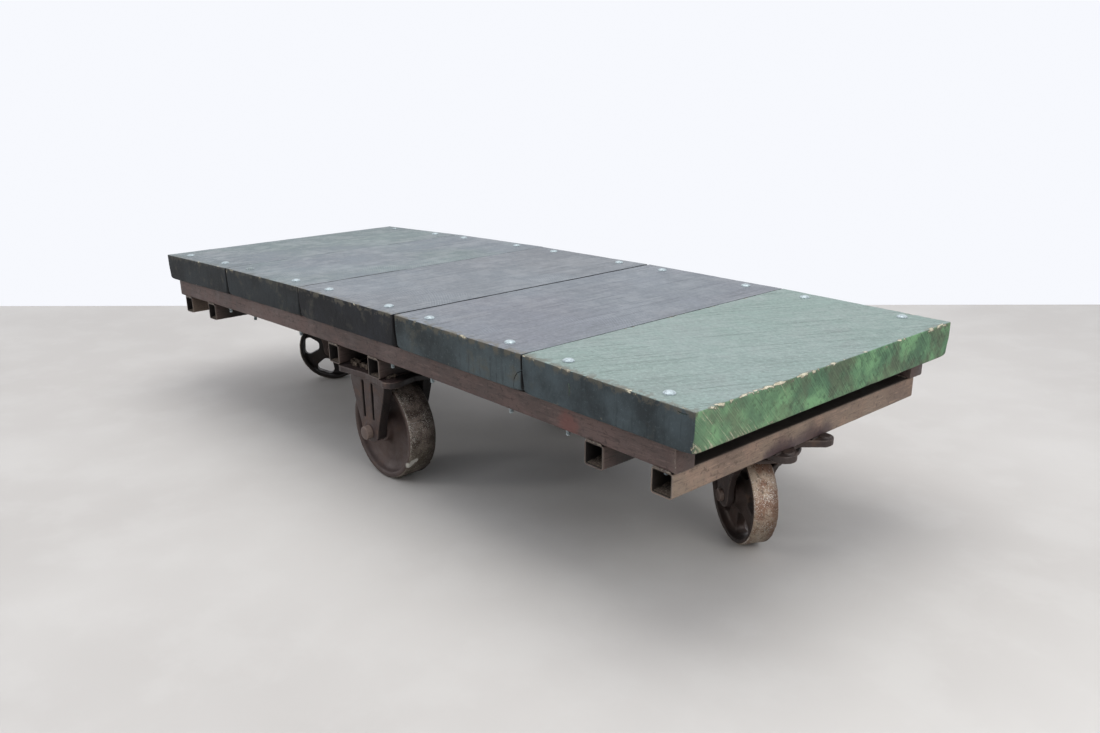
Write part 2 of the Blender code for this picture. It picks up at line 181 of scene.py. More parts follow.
def dense(profile, step):
    """Adds points to an open profile so that no gap is longer than step."""
    result = [profile[0]]
    for a, b in zip(profile, profile[1:]):
        parts = max(1, ceil(dist(a, b) / step))
        result += [tuple(p + (q - p) * k / parts for p, q in zip(a, b)) for k in range(1, parts + 1)]
    return result


def rounded(profile, radius, steps=4):
    """Rounds the corners of an open (radius, depth) profile with short arcs."""
    result = [profile[0]]
    for before, corner, after in zip(profile, profile[1:], profile[2:]):
        p, c, n = Vector(before), Vector(corner), Vector(after)
        reach = min(radius, (p - c).length * 0.45, (n - c).length * 0.45)
        start, end = c + (p - c).normalized() * reach, c + (n - c).normalized() * reach
        for k in range(steps + 1):
            t = k / steps
            result.append(tuple(start.lerp(c, t).lerp(c.lerp(end, t), t)))
    result.append(profile[-1])
    return result


def node_points(name):
    return np.array([v.co for v in NODES[name].data.vertices], float)


def tilt_of(name):
    """Turn about Y of a CAD node's largest upward face."""
    best, turn = 0.0, 0.0
    for face in NODES[name].data.polygons:
        if face.normal.z > 0.9 and face.area > best:
            best, turn = face.area, atan2(face.normal.x, face.normal.z)
    return turn


def level_points(name, tilted):
    """A node's points seen in the frame that leans like another node, the turn into it, and their box."""
    turn = Matrix.Rotation(tilt_of(tilted), 4, "Y")
    points = node_points(name) @ np.array(turn.to_3x3())
    return points, turn, points.min(0), points.max(0)


def local_box(name):
    """Matrix of a node's own tilted frame, centred on its box, and the box's half sizes."""
    turn, low, high = level_points(name, name)[1:]
    return turn @ Matrix.Translation((low + high) / 2), Vector((high - low) / 2)


CAST_ROUGHNESS, CAST_GRAIN = 0.00025, 160


def from_cad(name, piece_name, extras, voxel):
    """A cast piece: the CAD solid and extra lumps fused on a grid, with melted edges and a rough skin."""
    bm = bmesh.new()
    bm.from_mesh(NODES[name].data)
    bmesh.ops.remove_doubles(bm, verts=bm.verts, dist=1e-5)
    for points, faces in extras:
        made = [bm.verts.new(p) for p in points]
        for face in faces:
            bm.faces.new([made[i] for i in face])
    bmesh.ops.recalc_face_normals(bm, faces=bm.faces)
    mesh = bpy.data.meshes.new(piece_name)
    bm.to_mesh(mesh)
    bm.free()
    obj = linked(piece_name, mesh)
    melted(obj, voxel, 5)
    roughen(obj, CAST_ROUGHNESS, CAST_GRAIN)
    shade(obj, 80)
    return obj


def melted(obj, voxel, passes):
    """Fuses an object on a grid and smooths it."""
    remesh = obj.modifiers.new("remesh", "REMESH")
    remesh.mode, remesh.voxel_size = "VOXEL", voxel
    melt = obj.modifiers.new("melt", "SMOOTH")
    melt.factor, melt.iterations = 0.5, passes
    bake_modifiers(obj)


def bake_modifiers(obj):
    bpy.context.view_layer.update()
    graph = bpy.context.evaluated_depsgraph_get()
    mesh = bpy.data.meshes.new_from_object(obj.evaluated_get(graph))
    obj.modifiers.clear()
    old, name = obj.data, obj.data.name
    obj.data = mesh
    bpy.data.meshes.remove(old)
    mesh.name = name


def roughen(obj, amount, scale):
    """Moves each point along its normal by noise."""
    mesh = obj.data
    normals = [v.normal.copy() for v in mesh.vertices]
    for vertex, normal in zip(mesh.vertices, normals):
        coarse = fbm(vertex.co, scale * 0.25, 2)
        vertex.co += normal * amount * (fbm(vertex.co, scale, 2) + 1.4 * coarse)


def track(axis):
    """Turn that takes Z to an axis."""
    return Vector(axis).normalized().to_track_quat("Z", "Y").to_matrix()


def drum(centre, axis, radius, start, end, segments=32):
    """Points and faces of a closed drum."""
    turn = track(axis)
    loops = []
    for height in (start, end):
        circle = [Vector((radius * cos(a), radius * sin(a), height)) for a in turns(segments)]
        loops.append([Vector(centre) + turn @ point for point in circle])
    return loops_mesh(loops)


def flat_ring(centre, axis, inner, outer, start, end, segments=40):
    """Points and faces of a flat closed ring."""
    turn = track(axis)
    loops = []
    for angle in turns(segments):
        side = Vector((cos(angle), sin(angle), 0))
        corners = [(inner, start), (outer, start), (outer, end), (inner, end)]
        loops.append([Vector(centre) + turn @ (side * r + UP * h) for r, h in corners])
    return loops_mesh(loops, ring=True)


# ---------------------------------------------------------------- material helpers


class Tree:
    """Short calls for building a node material. Any input may be a value or another node's output."""

    def __init__(self, name):
        self.material = bpy.data.materials.new(name)
        self.material.use_nodes = True
        self.tree = self.material.node_tree
        self.tree.nodes.clear()
        self.out = self.add("OutputMaterial")
        self.here = self.add("TexCoord").outputs["Object"]

    def add(self, kind, *values, **inputs):
        """A new node, with its first inputs given in order and others by name."""
        made = self.tree.nodes.new("ShaderNode" + kind)
        for socket, value in zip(made.inputs, values):
            self.put(socket, value)
        for key, value in inputs.items():
            self.put(made.inputs[key.replace("_", " ")], value)
        return made

    def put(self, socket, value):
        if isinstance(value, bpy.types.NodeSocket):
            self.tree.links.new(value, socket)
        elif value is not None:
            if socket.type == "RGBA" and len(value) == 3:
                value = (*value, 1.0)
            socket.default_value = value

    def maths(self, operation, *values):
        made = self.add("Math", *values)
        made.operation = operation
        return made.outputs[0]

    def chain(self, operation, values):
        """Joins values two by two, from the first on."""
        result = values[0]
        for value in values[1:]:
            result = self.maths(operation, result, value)
        return result

    def plus(self, *values):
        return self.chain("ADD", values)

    def times(self, *values):
        return self.chain("MULTIPLY", values)

    def rest(self, value):
        return self.maths("SUBTRACT", 1.0, value)

    def blend(self, *pairs):
        """Sum of (value, weight) pairs."""
        return self.plus(*[self.times(value, weight) for value, weight in pairs])

    def swing(self, value, amount):
        """A value from 0 to 1, made to swing about zero."""
        return self.times(self.maths("SUBTRACT", value, 0.5), amount)

    def gap(self, place):
        """Distance from a place in the object's own frame."""
        made = self.add("VectorMath", self.here, place)
        made.operation = "DISTANCE"
        return made.outputs["Value"]

    def placed(self, scale=(1, 1, 1), rotation=(0, 0, 0), move=(0, 0, 0), vector=None):
        turn = [radians(v) for v in rotation]
        inputs = {"Vector": vector or self.here, "Scale": scale, "Rotation": turn, "Location": move}
        return self.add("Mapping", **inputs).outputs[0]

    def noise(self, scale, detail=4.0, rough=0.55, vector=None):
        place = vector or self.here
        made = self.add("TexNoise", Scale=scale, Detail=detail, Roughness=rough, Vector=place)
        return made.outputs["Fac"]

    def span(self, value, low, high, to_low=0.0, to_high=1.0):
        """Smooth step of a value from low to high."""
        made = self.add("MapRange", value, low, high, to_low, to_high)
        made.interpolation_type = "SMOOTHSTEP"
        return made.outputs[0]

    def mix(self, factor, a, b):
        made = self.add("Mix", factor)
        made.data_type = "RGBA"
        self.put(made.inputs[6], a)
        self.put(made.inputs[7], b)
        return made.outputs[2]

    def over(self, colour, paint, mask, amount):
        """Covers a share of a colour with paint."""
        return self.mix(self.times(mask, amount), colour, paint)

    def layers(self, colour, *rows):
        """Paints layers over a colour: each is (value, clear at, full at, share covered, paint)."""
        for value, clear, full, amount, paint in rows:
            colour = self.over(colour, paint, self.span(value, clear, full), amount)
        return colour

    def ramp(self, factor, stops):
        made = self.add("ValToRGB", factor)
        elements = made.color_ramp.elements
        while len(elements) < len(stops):
            elements.new(0.5)
        for element, (place, colour) in zip(elements, stops):
            element.position, element.color = place, (*colour, 1.0)
        return made.outputs[0]

    def attribute(self, name):
        made = self.add("Attribute")
        made.attribute_name = name
        return made.outputs["Fac"]

    def part(self, vector, axis):
        return self.add("SeparateXYZ", Vector=vector).outputs[axis]

    def along(self, axis):
        return self.part(self.here, axis)

    def surface(self, output):
        return self.add("NewGeometry").outputs[output]

    def normal(self, axis):
        return self.part(self.surface("Normal"), axis)

    def bump(self, height, strength, distance):
        return self.add("Bump", Height=height, Strength=strength, Distance=distance).outputs[0]

    def finish(self, colour, roughness, metallic=0.0, normal=None, specular=0.5):
        inputs = {"Base Color": colour, "Roughness": roughness, "Metallic": metallic, "Normal": normal}
        shader = self.add("BsdfPrincipled", **inputs, Specular_IOR_Level=specular)
        self.put(self.out.inputs["Surface"], shader.outputs[0])
        return self.material


def scaled(colour, factor):
    return [min(1, c * factor) for c in colour]


# ---------------------------------------------------------------- materials

BARE_WOOD = (0.40, 0.35, 0.24)
PALE_WOOD = (0.62, 0.58, 0.45)
SCUFFED = (0.135, 0.125, 0.098)
# Near-black of the painted shade inside the seams.
SEAM_SHADE_COLOUR = (0.012, 0.012, 0.013)
FRAYED = (0.105, 0.095, 0.072)
# Radians of the saw marks' wave in each metre.
SAW_WAVES = 980.0
# Near-black colour of painted shade.
PAINTED_SHADE = (0.010, 0.009, 0.009)


def timber(name, top, top_tint, side, seed, fray=0.4, green=False, slant=0.0, sawn=0.45):
    """Painted rough-sawn timber, its top at +Z. Grain runs along the object's Y, or slant degrees off it."""
    t = Tree(name)
    shifted = t.placed(move=(seed * 1.7, seed * 0.9, seed * 0.4))
    turned = t.placed(rotation=(0, 0, slant))
    grain = t.noise(1.0, 5, 0.62, t.placed(scale=(120, 5, 90), move=(seed, seed, 0), vector=turned))
    fibres = t.noise(1.0, 3, 0.7, t.placed(scale=(420, 16, 300), move=(seed, 0, seed), vector=turned))
    end_grain = t.noise(1.0, 4, 0.65, t.placed(scale=(130, 20, 16), move=(seed, 0, 0)))
    patches = t.noise(7.0, 5, 0.6, shifted)
    mottle = t.noise(150, 4, 0.7, shifted)
    up = t.span(t.normal("Z"), 0.45, 0.75)
    saw = t.times(saw_marks(t, shifted, seed), up)

    body = top_paint(t, top, top_tint, shifted, patches, grain, fibres, mottle)
    body = t.over(body, scaled(top_tint, 2.0), saw, sawn)
    # Sides and ends take the flank colour, far darker than the tops: stained paint, and painted shade.
    colour = t.mix(up, flank_paint_and_shade(t, side, shifted, patches, end_grain, mottle, seed), body)
    chips = t.plus(t.attribute("wear"), t.swing(t.noise(230, 4, 0.7), 1.3))
    bare = t.span(chips, 0.76, 0.90)
    if green:
        colour, bare = green_face(t, colour, bare, seed)
    colour = t.layers(colour, (chips, 0.28, 0.60, 0.60, SCUFFED))
    colour = t.mix(bare, colour, t.mix(t.span(t.noise(160, 4, 0.7), 0.35, 0.65), BARE_WOOD, PALE_WOOD))
    colour = near_edge(t, colour, shifted, fray)
    # Painted shade inside the seams between planks and along the open crack.
    colour = t.layers(colour, (t.attribute("seam"), 0.15, 0.85, 0.92, SEAM_SHADE_COLOUR))

    sheen = t.blend((patches, 0.6), (grain, 0.35), (t.noise(28, 5, 0.7, shifted), 0.35))
    rough = t.span(sheen, 0.50, 0.80, 0.36, 0.74)
    rough = t.plus(t.maths("MAXIMUM", rough, t.times(t.rest(up), 0.68)), t.times(bare, 0.2))
    end = t.times(t.span(t.maths("ABSOLUTE", t.normal("Y")), 0.5, 0.8), end_grain)
    relief = t.blend((grain, 0.8), (fibres, 0.35), (saw, sawn), (end, 0.4), (mottle, 0.5))
    relief = t.maths("SUBTRACT", relief, t.times(bare, 0.6))
    gloss = t.plus(t.times(up, 0.22), 0.28)
    return t.finish(colour, rough, 0.0, t.bump(relief, 0.55, 0.0012), gloss)


def saw_marks(t, shifted, seed):
    """The bowed teeth marks of a circular saw, in patches."""
    bow = t.times(t.maths("POWER", t.plus(t.along("X"), 0.06 + 0.01 * seed), 2.0), 1.3)
    place = t.plus(t.along("Y"), bow, t.times(t.noise(9, 2, vector=shifted), 0.012))
    teeth = t.maths("SINE", t.times(place, SAW_WAVES))
    zone = t.span(t.noise(5.5, 2, 0.5, t.placed(move=(seed * 3.1, 2, 0))), 0.50, 0.66)
    return t.times(t.span(teeth, 0.2, 1.0), zone)


def top_paint(t, top, tint, shifted, patches, grain, fibres, mottle):
    """Weathered paint on the top of a plank."""
    return t.layers(
        t.mix(t.span(t.noise(2.2, 3, 0.5, shifted), 0.38, 0.64), top, tint),
        (patches, 0.52, 0.75, 0.50, scaled(top, 1.40)),
        (patches, 0.46, 0.28, 0.45, scaled(top, 0.62)),
        (grain, 0.50, 0.70, 0.55, scaled(top, 0.55)),
        (fibres, 0.52, 0.74, 0.40, scaled(top, 2.0)),
        (mottle, 0.50, 0.66, 0.50, scaled(top, 1.6)),
        (mottle, 0.46, 0.32, 0.50, scaled(top, 0.55)),
    )


def flank_paint_and_shade(t, side, shifted, patches, end_grain, mottle, seed):
    """Darker, stained paint on the sides and ends of a plank, darker still as painted shade."""
    stains = t.noise(16, 4, 0.6, t.placed(move=(3, seed, 1)))
    return t.layers(
        t.mix(t.span(patches, 0.36, 0.62), scaled(side, 0.7), scaled(side, 1.9)),
        (t.noise(2.2, 3, 0.5, shifted), 0.48, 0.66, 0.8, scaled(side, 0.30)),
        (stains, 0.56, 0.72, 0.6, (0.085, 0.080, 0.060)),
        (end_grain, 0.52, 0.74, 0.45, scaled(side, 0.45)),
        (mottle, 0.54, 0.72, 0.45, scaled(side, 2.6)),
        (t.noise(420, 2, 0.6, shifted), 0.66, 0.78, 0.5, scaled(side, 5)),
    )


def near_edge(t, colour, shifted, fray):
    """Wood fibres rubbed bare in patches on the near end of a plank's top."""
    brink = t.times(t.span(t.along("Y"), -0.346, -0.379), t.span(t.along("Z"), 0.012, 0.032))
    rubbed = t.plus(t.noise(48, 5, 0.72, shifted), t.times(brink, 0.16))
    return t.over(colour, FRAYED, t.times(t.span(rubbed, 0.60, 0.70), brink), fray)


def green_face(t, colour, bare, seed):
    """The long outer face of the green plank: stronger green, and slanting saw streaks worn to the wood. Its
    near end is painted paler as painted light, and its bare flecks there are both wear and painted light.
    """
    facing = t.span(t.normal("X"), 0.45, 0.8)
    y, z = t.along("Y"), t.along("Z")
    slant = t.plus(y, t.times(z, 0.90), t.times(t.noise(14, 2), 0.010))
    place = t.add("CombineXYZ", X=t.times(slant, 310.0), Y=t.times(z, 16.0))
    streaks = t.noise(1.0, 4, 0.68, place.outputs[0])
    patches = t.noise(13.0, 5, 0.62, t.placed(move=(seed, 0, 4)))
    mottle = t.noise(95.0, 4, 0.65)
    near = t.span(y, 0.00, -0.38)
    dull = t.plus(t.noise(9.0, 5, 0.65), t.span(z, 0.02, -0.05, 0.0, 0.07))
    green = t.layers(
        t.mix(t.span(patches, 0.38, 0.60), (0.084, 0.170, 0.100), (0.190, 0.372, 0.188)),
        (dull, 0.50, 0.62, 0.65, (0.100, 0.098, 0.070)),
        (mottle, 0.52, 0.68, 0.55, (0.038, 0.058, 0.040)),
        (streaks, 0.50, 0.68, 0.60, (0.040, 0.066, 0.046)),
        (streaks, 0.48, 0.32, 0.45, (0.19, 0.34, 0.18)),
    )
    # Painted light: the near end made paler green.
    green = t.over(green, (0.24, 0.36, 0.20), near, 0.22)
    # More bare flecks towards the near end, most of all low down: worn wood, and painted light.
    worn = t.blend((t.times(near, t.span(z, 0.000, -0.070)), 0.34), (near, 0.10))
    flecks = t.plus(t.rest(streaks), t.times(mottle, 0.35), worn)
    bare_streaks = t.times(t.span(flecks, 0.85, 0.98), facing, 0.72)
    return t.mix(facing, colour, green), t.maths("MAXIMUM", bare, bare_streaks)


def steel(name, base, tint, spots=(), seed=0.0, strength=0.55, deep=None):
    """Oxide-brown tube steel with rust bloom. spots are (place, reach, colour) marks in its own frame. Its
    upward faces and inner walls are darkened as painted shade, and with deep, so are its parts towards the
    deck's middle.
    """
    t = Tree(name)
    bloom = t.noise(18, 6, 0.62, t.placed(move=(seed, 1, 2)))
    marks = t.noise(90, 5, 0.65)
    fine = t.noise(600, 3, 0.6)
    drift = t.noise(4.0, 3, 0.5, t.placed(move=(seed, 5, 1)))
    scuffs = t.noise(1.0, 4, 0.7, t.placed(scale=(26, 26, 210), move=(seed, 3, 0)))
    colour = t.layers(
        t.mix(t.span(drift, 0.36, 0.64), base, tint),
        (bloom, 0.48, 0.66, 0.60, scaled(base, 1.9)),
        (scuffs, 0.54, 0.68, 0.50, scaled(base, 2.3)),
        (scuffs, 0.46, 0.34, 0.55, scaled(base, 0.45)),
        (marks, 0.54, 0.68, 0.60, scaled(base, 0.38)),
        (fine, 0.56, 0.72, 0.35, scaled(base, 2.6)),
    )
    for place, reach, spot in spots:
        gap = t.plus(t.gap(place), t.swing(marks, reach * 0.9))
        colour = t.layers(colour, (gap, reach, reach * 0.35, strength, spot))
    colour = t.layers(colour, (t.surface("Pointiness"), 0.53, 0.62, 0.45, (0.30, 0.24, 0.20)))
    # Painted shade towards the deck's middle.
    if deep:
        colour = painted_deck_shade(t, colour, *deep)
    # Upward faces and the tubes' inner walls go nearly black: painted shade under the planks and inside the
    # tubes.
    painted_shade_mask = t.maths("MAXIMUM", t.span(t.normal("Z"), 0.5, 0.85), t.attribute("inside"))
    colour = t.over(colour, (0.014, 0.012, 0.011), painted_shade_mask, 0.92)
    rough = t.span(bloom, 0.3, 0.75, 0.46, 0.74)
    return t.finish(colour, rough, 0.15, t.bump(t.blend((marks, 0.7), (fine, 0.25)), 0.35, 0.0008))


def painted_deck_shade(t, colour, start, end):
    """Darkens towards the middle of the deck, as painted shade under the planks. Distances are along Y."""
    return t.layers(colour, (t.maths("ABSOLUTE", t.along("Y")), start, end, 0.85, PAINTED_SHADE))


def cast_iron(name, base=(0.050, 0.036, 0.032), tint=(0.085, 0.056, 0.046), deep=None):
    """Dark sand-cast iron under old brown paint and rust, paler along its edges, with painted shade in its
    hollows and, with deep, towards the deck's middle and on faces that look to +X.
    """
    t = Tree(name)
    pits = t.noise(520, 3, 0.6)
    bloom = t.noise(26, 5, 0.6)
    edge = t.plus(t.surface("Pointiness"), t.times(bloom, 0.05))
    colour = t.layers(
        t.mix(t.span(t.noise(7, 3, 0.5), 0.36, 0.64), base, tint),
        (bloom, 0.52, 0.72, 0.5, (0.135, 0.078, 0.052)),
        (pits, 0.60, 0.75, 0.4, (0.016, 0.013, 0.012)),
        (edge, 0.545, 0.60, 0.65, (0.22, 0.165, 0.135)),
        # Painted shade in the hollows.
        (t.surface("Pointiness"), 0.47, 0.42, 0.7, (0.012, 0.010, 0.010)),
    )
    # With deep: painted shade towards the deck's middle and on faces that look to +X.
    if deep:
        colour = t.layers(painted_deck_shade(t, colour, *deep), (t.normal("X"), 0.40, 0.85, 0.75, PAINTED_SHADE))
    relief = t.blend((pits, 0.6), (t.noise(150, 4), 0.7))
    return t.finish(colour, t.span(bloom, 0.3, 0.75, 0.40, 0.68), 0.25, t.bump(relief, 0.45, 0.0009))


def wheel_iron(name, disc, disc_tint, grime, rust, lights, spots=()):
    """Wheel casting: dark disc, and a tread of ground-in grime, rust and worn bright specks, darker towards
    the bottom and, as painted shade, on its +Y side. A pale painted highlight runs along the worn rim edges.
    """
    t = Tree(name)
    pits = t.noise(480, 3, 0.6)
    bloom = t.noise(34, 5, 0.62)
    colour = t.layers(
        t.mix(t.span(t.noise(11, 4, 0.55), 0.38, 0.62), disc, disc_tint),
        (pits, 0.58, 0.74, 0.5, scaled(disc, 0.35)),
        (bloom, 0.56, 0.74, 0.4, (0.13, 0.075, 0.05)),
    )
    worn = t.mix(t.span(bloom, 0.40, 0.60), grime, rust)
    worn = t.layers(worn, (t.noise(150, 4, 0.7), 0.52, 0.66, 0.70, scaled(rust, 0.25)))
    grains = t.plus(t.noise(390, 3, 0.75), t.swing(t.noise(22, 3), 0.35))
    worn = t.layers(
        t.mix(t.span(grains, 0.545, 0.64), worn, lights),
        # Darker and olive towards the bottom of the tread.
        (t.along("Z"), 0.030, -0.050, 0.50, (0.070, 0.062, 0.038)),
        # Painted shade on the tread's +Y side.
        (t.along("Y"), -0.004, 0.030, 0.75, scaled(rust, 0.30)),
    )
    tread = t.span(t.attribute("tread"), 0.35, 0.75)
    # Pale painted highlight along the rim edges, which are also worn smoother.
    rim = t.span(t.plus(t.attribute("rim"), t.swing(bloom, 2.6)), 0.92, 1.25)
    colour = t.over(t.mix(tread, colour, worn), scaled(lights, 0.8), rim, 0.55)
    for place, reach, spot in spots:
        gap = t.plus(t.gap(place), t.swing(t.noise(130, 3), reach * 0.8))
        colour = t.mix(t.span(gap, reach, reach * 0.6), colour, spot)
    rough = t.plus(t.span(bloom, 0.3, 0.7, 0.42, 0.66), t.times(tread, 0.12))
    rough = t.maths("SUBTRACT", rough, t.times(rim, 0.18))
    relief = t.blend((pits, 0.5), (t.noise(170, 4), 0.9))
    return t.finish(colour, rough, 0.3, t.bump(relief, 0.5, 0.0012))


def zinc(name, paint=None):
    """Bright zinc plate with dull spots and fine scratches. paint is a colour that mostly covers it."""
    t = Tree(name)
    dull = t.noise(260, 4, 0.6)
    colour = t.mix(t.span(dull, 0.44, 0.66), (0.44, 0.51, 0.53), (0.27, 0.32, 0.34))
    rough = t.span(dull, 0.35, 0.7, 0.36, 0.58)
    metallic = 0.35
    if paint:
        cover = t.span(t.noise(190, 3, 0.6), 0.60, 0.50)
        colour = t.mix(cover, colour, paint)
        metallic = t.times(t.rest(cover), metallic)
        rough = t.maths("MAXIMUM", rough, t.times(cover, 0.5))
    return t.finish(colour, rough, metallic, t.bump(t.noise(1500, 2, 0.5), 0.12, 0.0004))


def plain_metal(name, base, dark, roughness, metallic):
    t = Tree(name)
    blotch = t.noise(90, 5, 0.6)
    rough = t.span(blotch, 0.3, 0.7, roughness - 0.1, roughness + 0.15)
    colour = t.mix(t.span(blotch, 0.40, 0.66), base, dark)
    return t.finish(colour, rough, metallic, t.bump(t.noise(900, 3, 0.6), 0.2, 0.0004))


def weld_metal(name, dark, pale):
    """Grey-brown weld bead, scaled and a little rusty."""
    t = Tree(name)
    marks = t.noise(240, 4, 0.6)
    colour = t.mix(t.span(marks, 0.40, 0.66), dark, pale)
    colour = t.layers(colour, (t.noise(60, 3), 0.50, 0.66, 0.5, scaled(dark, 1.6)))
    return t.finish(colour, t.span(marks, 0.3, 0.7, 0.50, 0.72), 0.15, t.bump(marks, 0.4, 0.0006))


def dirt():
    t = Tree("packed_dirt")
    lumps = t.noise(320, 5, 0.7)
    stops = [(0.30, (0.030, 0.024, 0.020)), (0.52, (0.12, 0.092, 0.070)), (0.72, (0.30, 0.25, 0.20))]
    return t.finish(t.ramp(lumps, stops), 0.95, 0.0, t.bump(lumps, 0.8, 0.002), 0.2)


# ---------------------------------------------------------------- planks

EDGE_LINES = (0.0, 0.0008, 0.0018, 0.0030, 0.0045, 0.0065, 0.0090, 0.0120, 0.0160)
PLANK_GRID = 0.0055


def grid_line(half):
    """Places along one axis: close together near both ends."""
    inner = half - EDGE_LINES[-1]
    count = max(2, round(2 * inner / PLANK_GRID))
    middle = [-inner + 2 * inner * i / count for i in range(1, count)]
    return [-half + d for d in EDGE_LINES] + middle + [half - d for d in reversed(EDGE_LINES)]


def box_surface(*lines):
    """Points and outward quads of the surface of a box, cut along its (x, y, z) lines."""
    index, faces = {}, []
    for axis in range(3):
        u, v = (axis + 1) % 3, (axis + 2) % 3
        for end in (0, len(lines[axis]) - 1):
            for i, j in itertools.product(range(len(lines[u]) - 1), range(len(lines[v]) - 1)):
                corners = [(i, j), (i + 1, j), (i + 1, j + 1), (i, j + 1)]
                face = []
                for a, b in corners if end else reversed(corners):
                    place = {axis: end, u: a, v: b}
                    face.append(index.setdefault((place[0], place[1], place[2]), len(index)))
                faces.append(tuple(face))
    return [tuple(line[k] for line, k in zip(lines, place)) for place in index], faces


# How far each plank's long faces stand out to close the seam, in metres: (left face, right face).
SEAM_CLOSE = [(0.0, 0.0007), (0.0007, 0.0007), (0.0007, 0.0), (0.0, 0.0011), (0.0011, 0.0)]
# How ready each plank's near and far top edges are to chip.
CHIPPING = [(-0.34, -0.42), (-0.33, -0.42), (-0.28, -0.40), (-0.22, -0.38), (-0.12, -0.26)]
NEVER = -0.9
NOTCH = 0.25
# The planks and sides beside the cracked seam, beside the widest seams, and beside the tightest ones.
CRACKED_SEAM = ((1, 1), (2, -1))
WIDE_SEAMS = ((2, 1), (3, -1), (3, 1), (4, -1))
TIGHT_SEAMS = ((0, 1), (1, -1), (3, 1), (4, -1))


def seam_opening(index, side, from_near, y):
    """Share of the closing that applies: the tight seams open at the near end, and one opens in patches."""
    share = smoothstep(0.006, 0.030, from_near)
    if (index, side) in CRACKED_SEAM:
        share *= 1.0 - seam_crack(from_near) - 0.7 * smoothstep(0.0, 0.3, fbm((0, y, 0), 9, 2, 3.0))
    return max(0.0, share)


def seam_crack(from_near):
    """Share of the open crack that runs along the top of one seam, from the near end to about half-way."""
    return smoothstep(0.36, 0.24, from_near) * smoothstep(0.004, 0.030, from_near)


def chip_bias(index, p, half):
    """How ready the nearest edge is to chip."""
    to_end, to_seam, to_top = half.y - abs(p.y), half.x - abs(p.x), half.z - abs(p.z)
    green = index == GREEN_PLANK
    outer = (green and p.x > 0) or (index == 0 and p.x < 0)
    if to_top > max(to_end, to_seam):
        notch = index == 1 and p.x < 0 and p.y < 0 and p.z > half.z - 0.016
        if notch:
            return NOTCH
        return -0.33 if green and p.x > 0 and p.y < 0 else NEVER
    if p.z < 0:
        return -0.36 if outer or (green and to_end < to_seam) else NEVER
    if to_seam < to_end:
        if outer:
            return -0.02 if green else -0.25
        return -0.20 if green else NEVER
    return CHIPPING[index][0 if p.y < 0 else 1]


def corner_radius(index, side, p, half, chip):
    """Edge rounding at a point: crisp on top, fuller along the bottom seam corners."""
    low = smoothstep(0.010, -0.030, p.z)
    at_seam = smoothstep(0.030, 0.0, half.x - abs(p.x))
    tight = (index, side) in TIGHT_SEAMS and at_seam > 0 and half.y - abs(p.y) > 0.012
    base = (0.0009 if tight else 0.0019) + 0.0006 * fbm(p, 30, 2, index)
    if index == GREEN_PLANK and p.x > 0:
        base += 0.0012
    at_end = smoothstep(0.030, 0.0, half.y - abs(p.y))
    return max(0.0009, base + 0.0060 * low * at_seam + 0.0020 * low * at_end + chip)


def chip_at(index, p, half):
    """How deep the edge is chipped, and how far its paint is worn."""
    rough = 0.62 * fbm(p, 38, 3, index + 1) + 0.55 * fbm(p, 120, 2, index + 5)
    push = rough + chip_bias(index, p, half)
    return min(0.0034, 0.0065 * max(0.0, push)), smoothstep(-0.10, 0.22, push)


def seam_shade(index, side, start, p, half):
    """Share of painted shade inside a seam, and on the cracked seam's lip. start is the point before it was
    shaped.
    """
    if (index, side) in ((0, -1), (GREEN_PLANK, 1)):
        return 0.0
    to_seam = half.x - abs(start.x)
    clear, full = (0.0026, 0.0008) if (index, side) in WIDE_SEAMS else (0.0018, 0.0005)
    shade_share = smoothstep(clear, full, to_seam) * smoothstep(0.001, 0.006, half.z - start.z)
    if (index, side) in CRACKED_SEAM:
        lip = smoothstep(0.0034, 0.0014, to_seam) * (0.75 + 0.5 * fbm(p, 60, 2, 4.0))
        shade_share = max(shade_share, lip * seam_crack(start.y + half.y))
    return shade_share


def shape_plank(index, points, half):
    """Rounds, wears and chips the surface of a plank. Gives new points and the two masks its paint reads."""
    shaped, wear, seam = [], [], []
    for start in map(Vector, points):
        p = start.copy()
        side = 1 if p.x > 0 else -1
        edge = sorted((half.x - abs(p.x), half.y - abs(p.y), half.z - abs(p.z)))[1]
        chip, mask = chip_at(index, p, half) if edge < 0.02 else (0.0, 0.0)
        radius = corner_radius(index, side, p, half, chip)
        inner = Vector([max(-h + radius, min(h - radius, c)) for c, h in zip(p, half)])
        away = p - inner
        if away.length > 1e-9:
            inward = 0.0003 + 0.0004 * max(0.0, 1.0 + fbm(p, 14, 3, index + 9))
            p = inner + away.normalized() * (radius - inward)
        side = 1 if p.x > 0 else -1
        closing = SEAM_CLOSE[index][side > 0] * seam_opening(index, side, p.y + half.y, p.y)
        p.x += side * closing * smoothstep(0.025, 0.0, half.x - abs(start.x))
        shaped.append(p)
        wear.append(mask * smoothstep(radius * 1.1 + 0.0060, radius * 0.45, edge))
        seam.append(seam_shade(index, side, start, p, half))
    return shaped, wear, seam


def crack_cutter(path, width, depth, face_y):
    """A thin wall along a path of (x, z) points, cut into the near end of a plank."""
    left, right = [], []
    for i, (x, z) in enumerate(path):
        before, after = Vector(path[max(0, i - 1)]), Vector(path[min(len(path) - 1, i + 1)])
        normal = (after - before).normalized().orthogonal()
        thin = width / 2 * (0.35 + 0.65 * sin(pi * (i + 0.6) / (len(path) + 0.2)))
        left.append((x + normal.x * thin, z + normal.y * thin))
        right.append((x - normal.x * thin, z - normal.y * thin))
    outline = left + right[::-1]
    return loops_mesh([[(x, y, z) for x, z in outline] for y in (face_y - 0.01, face_y + depth)])


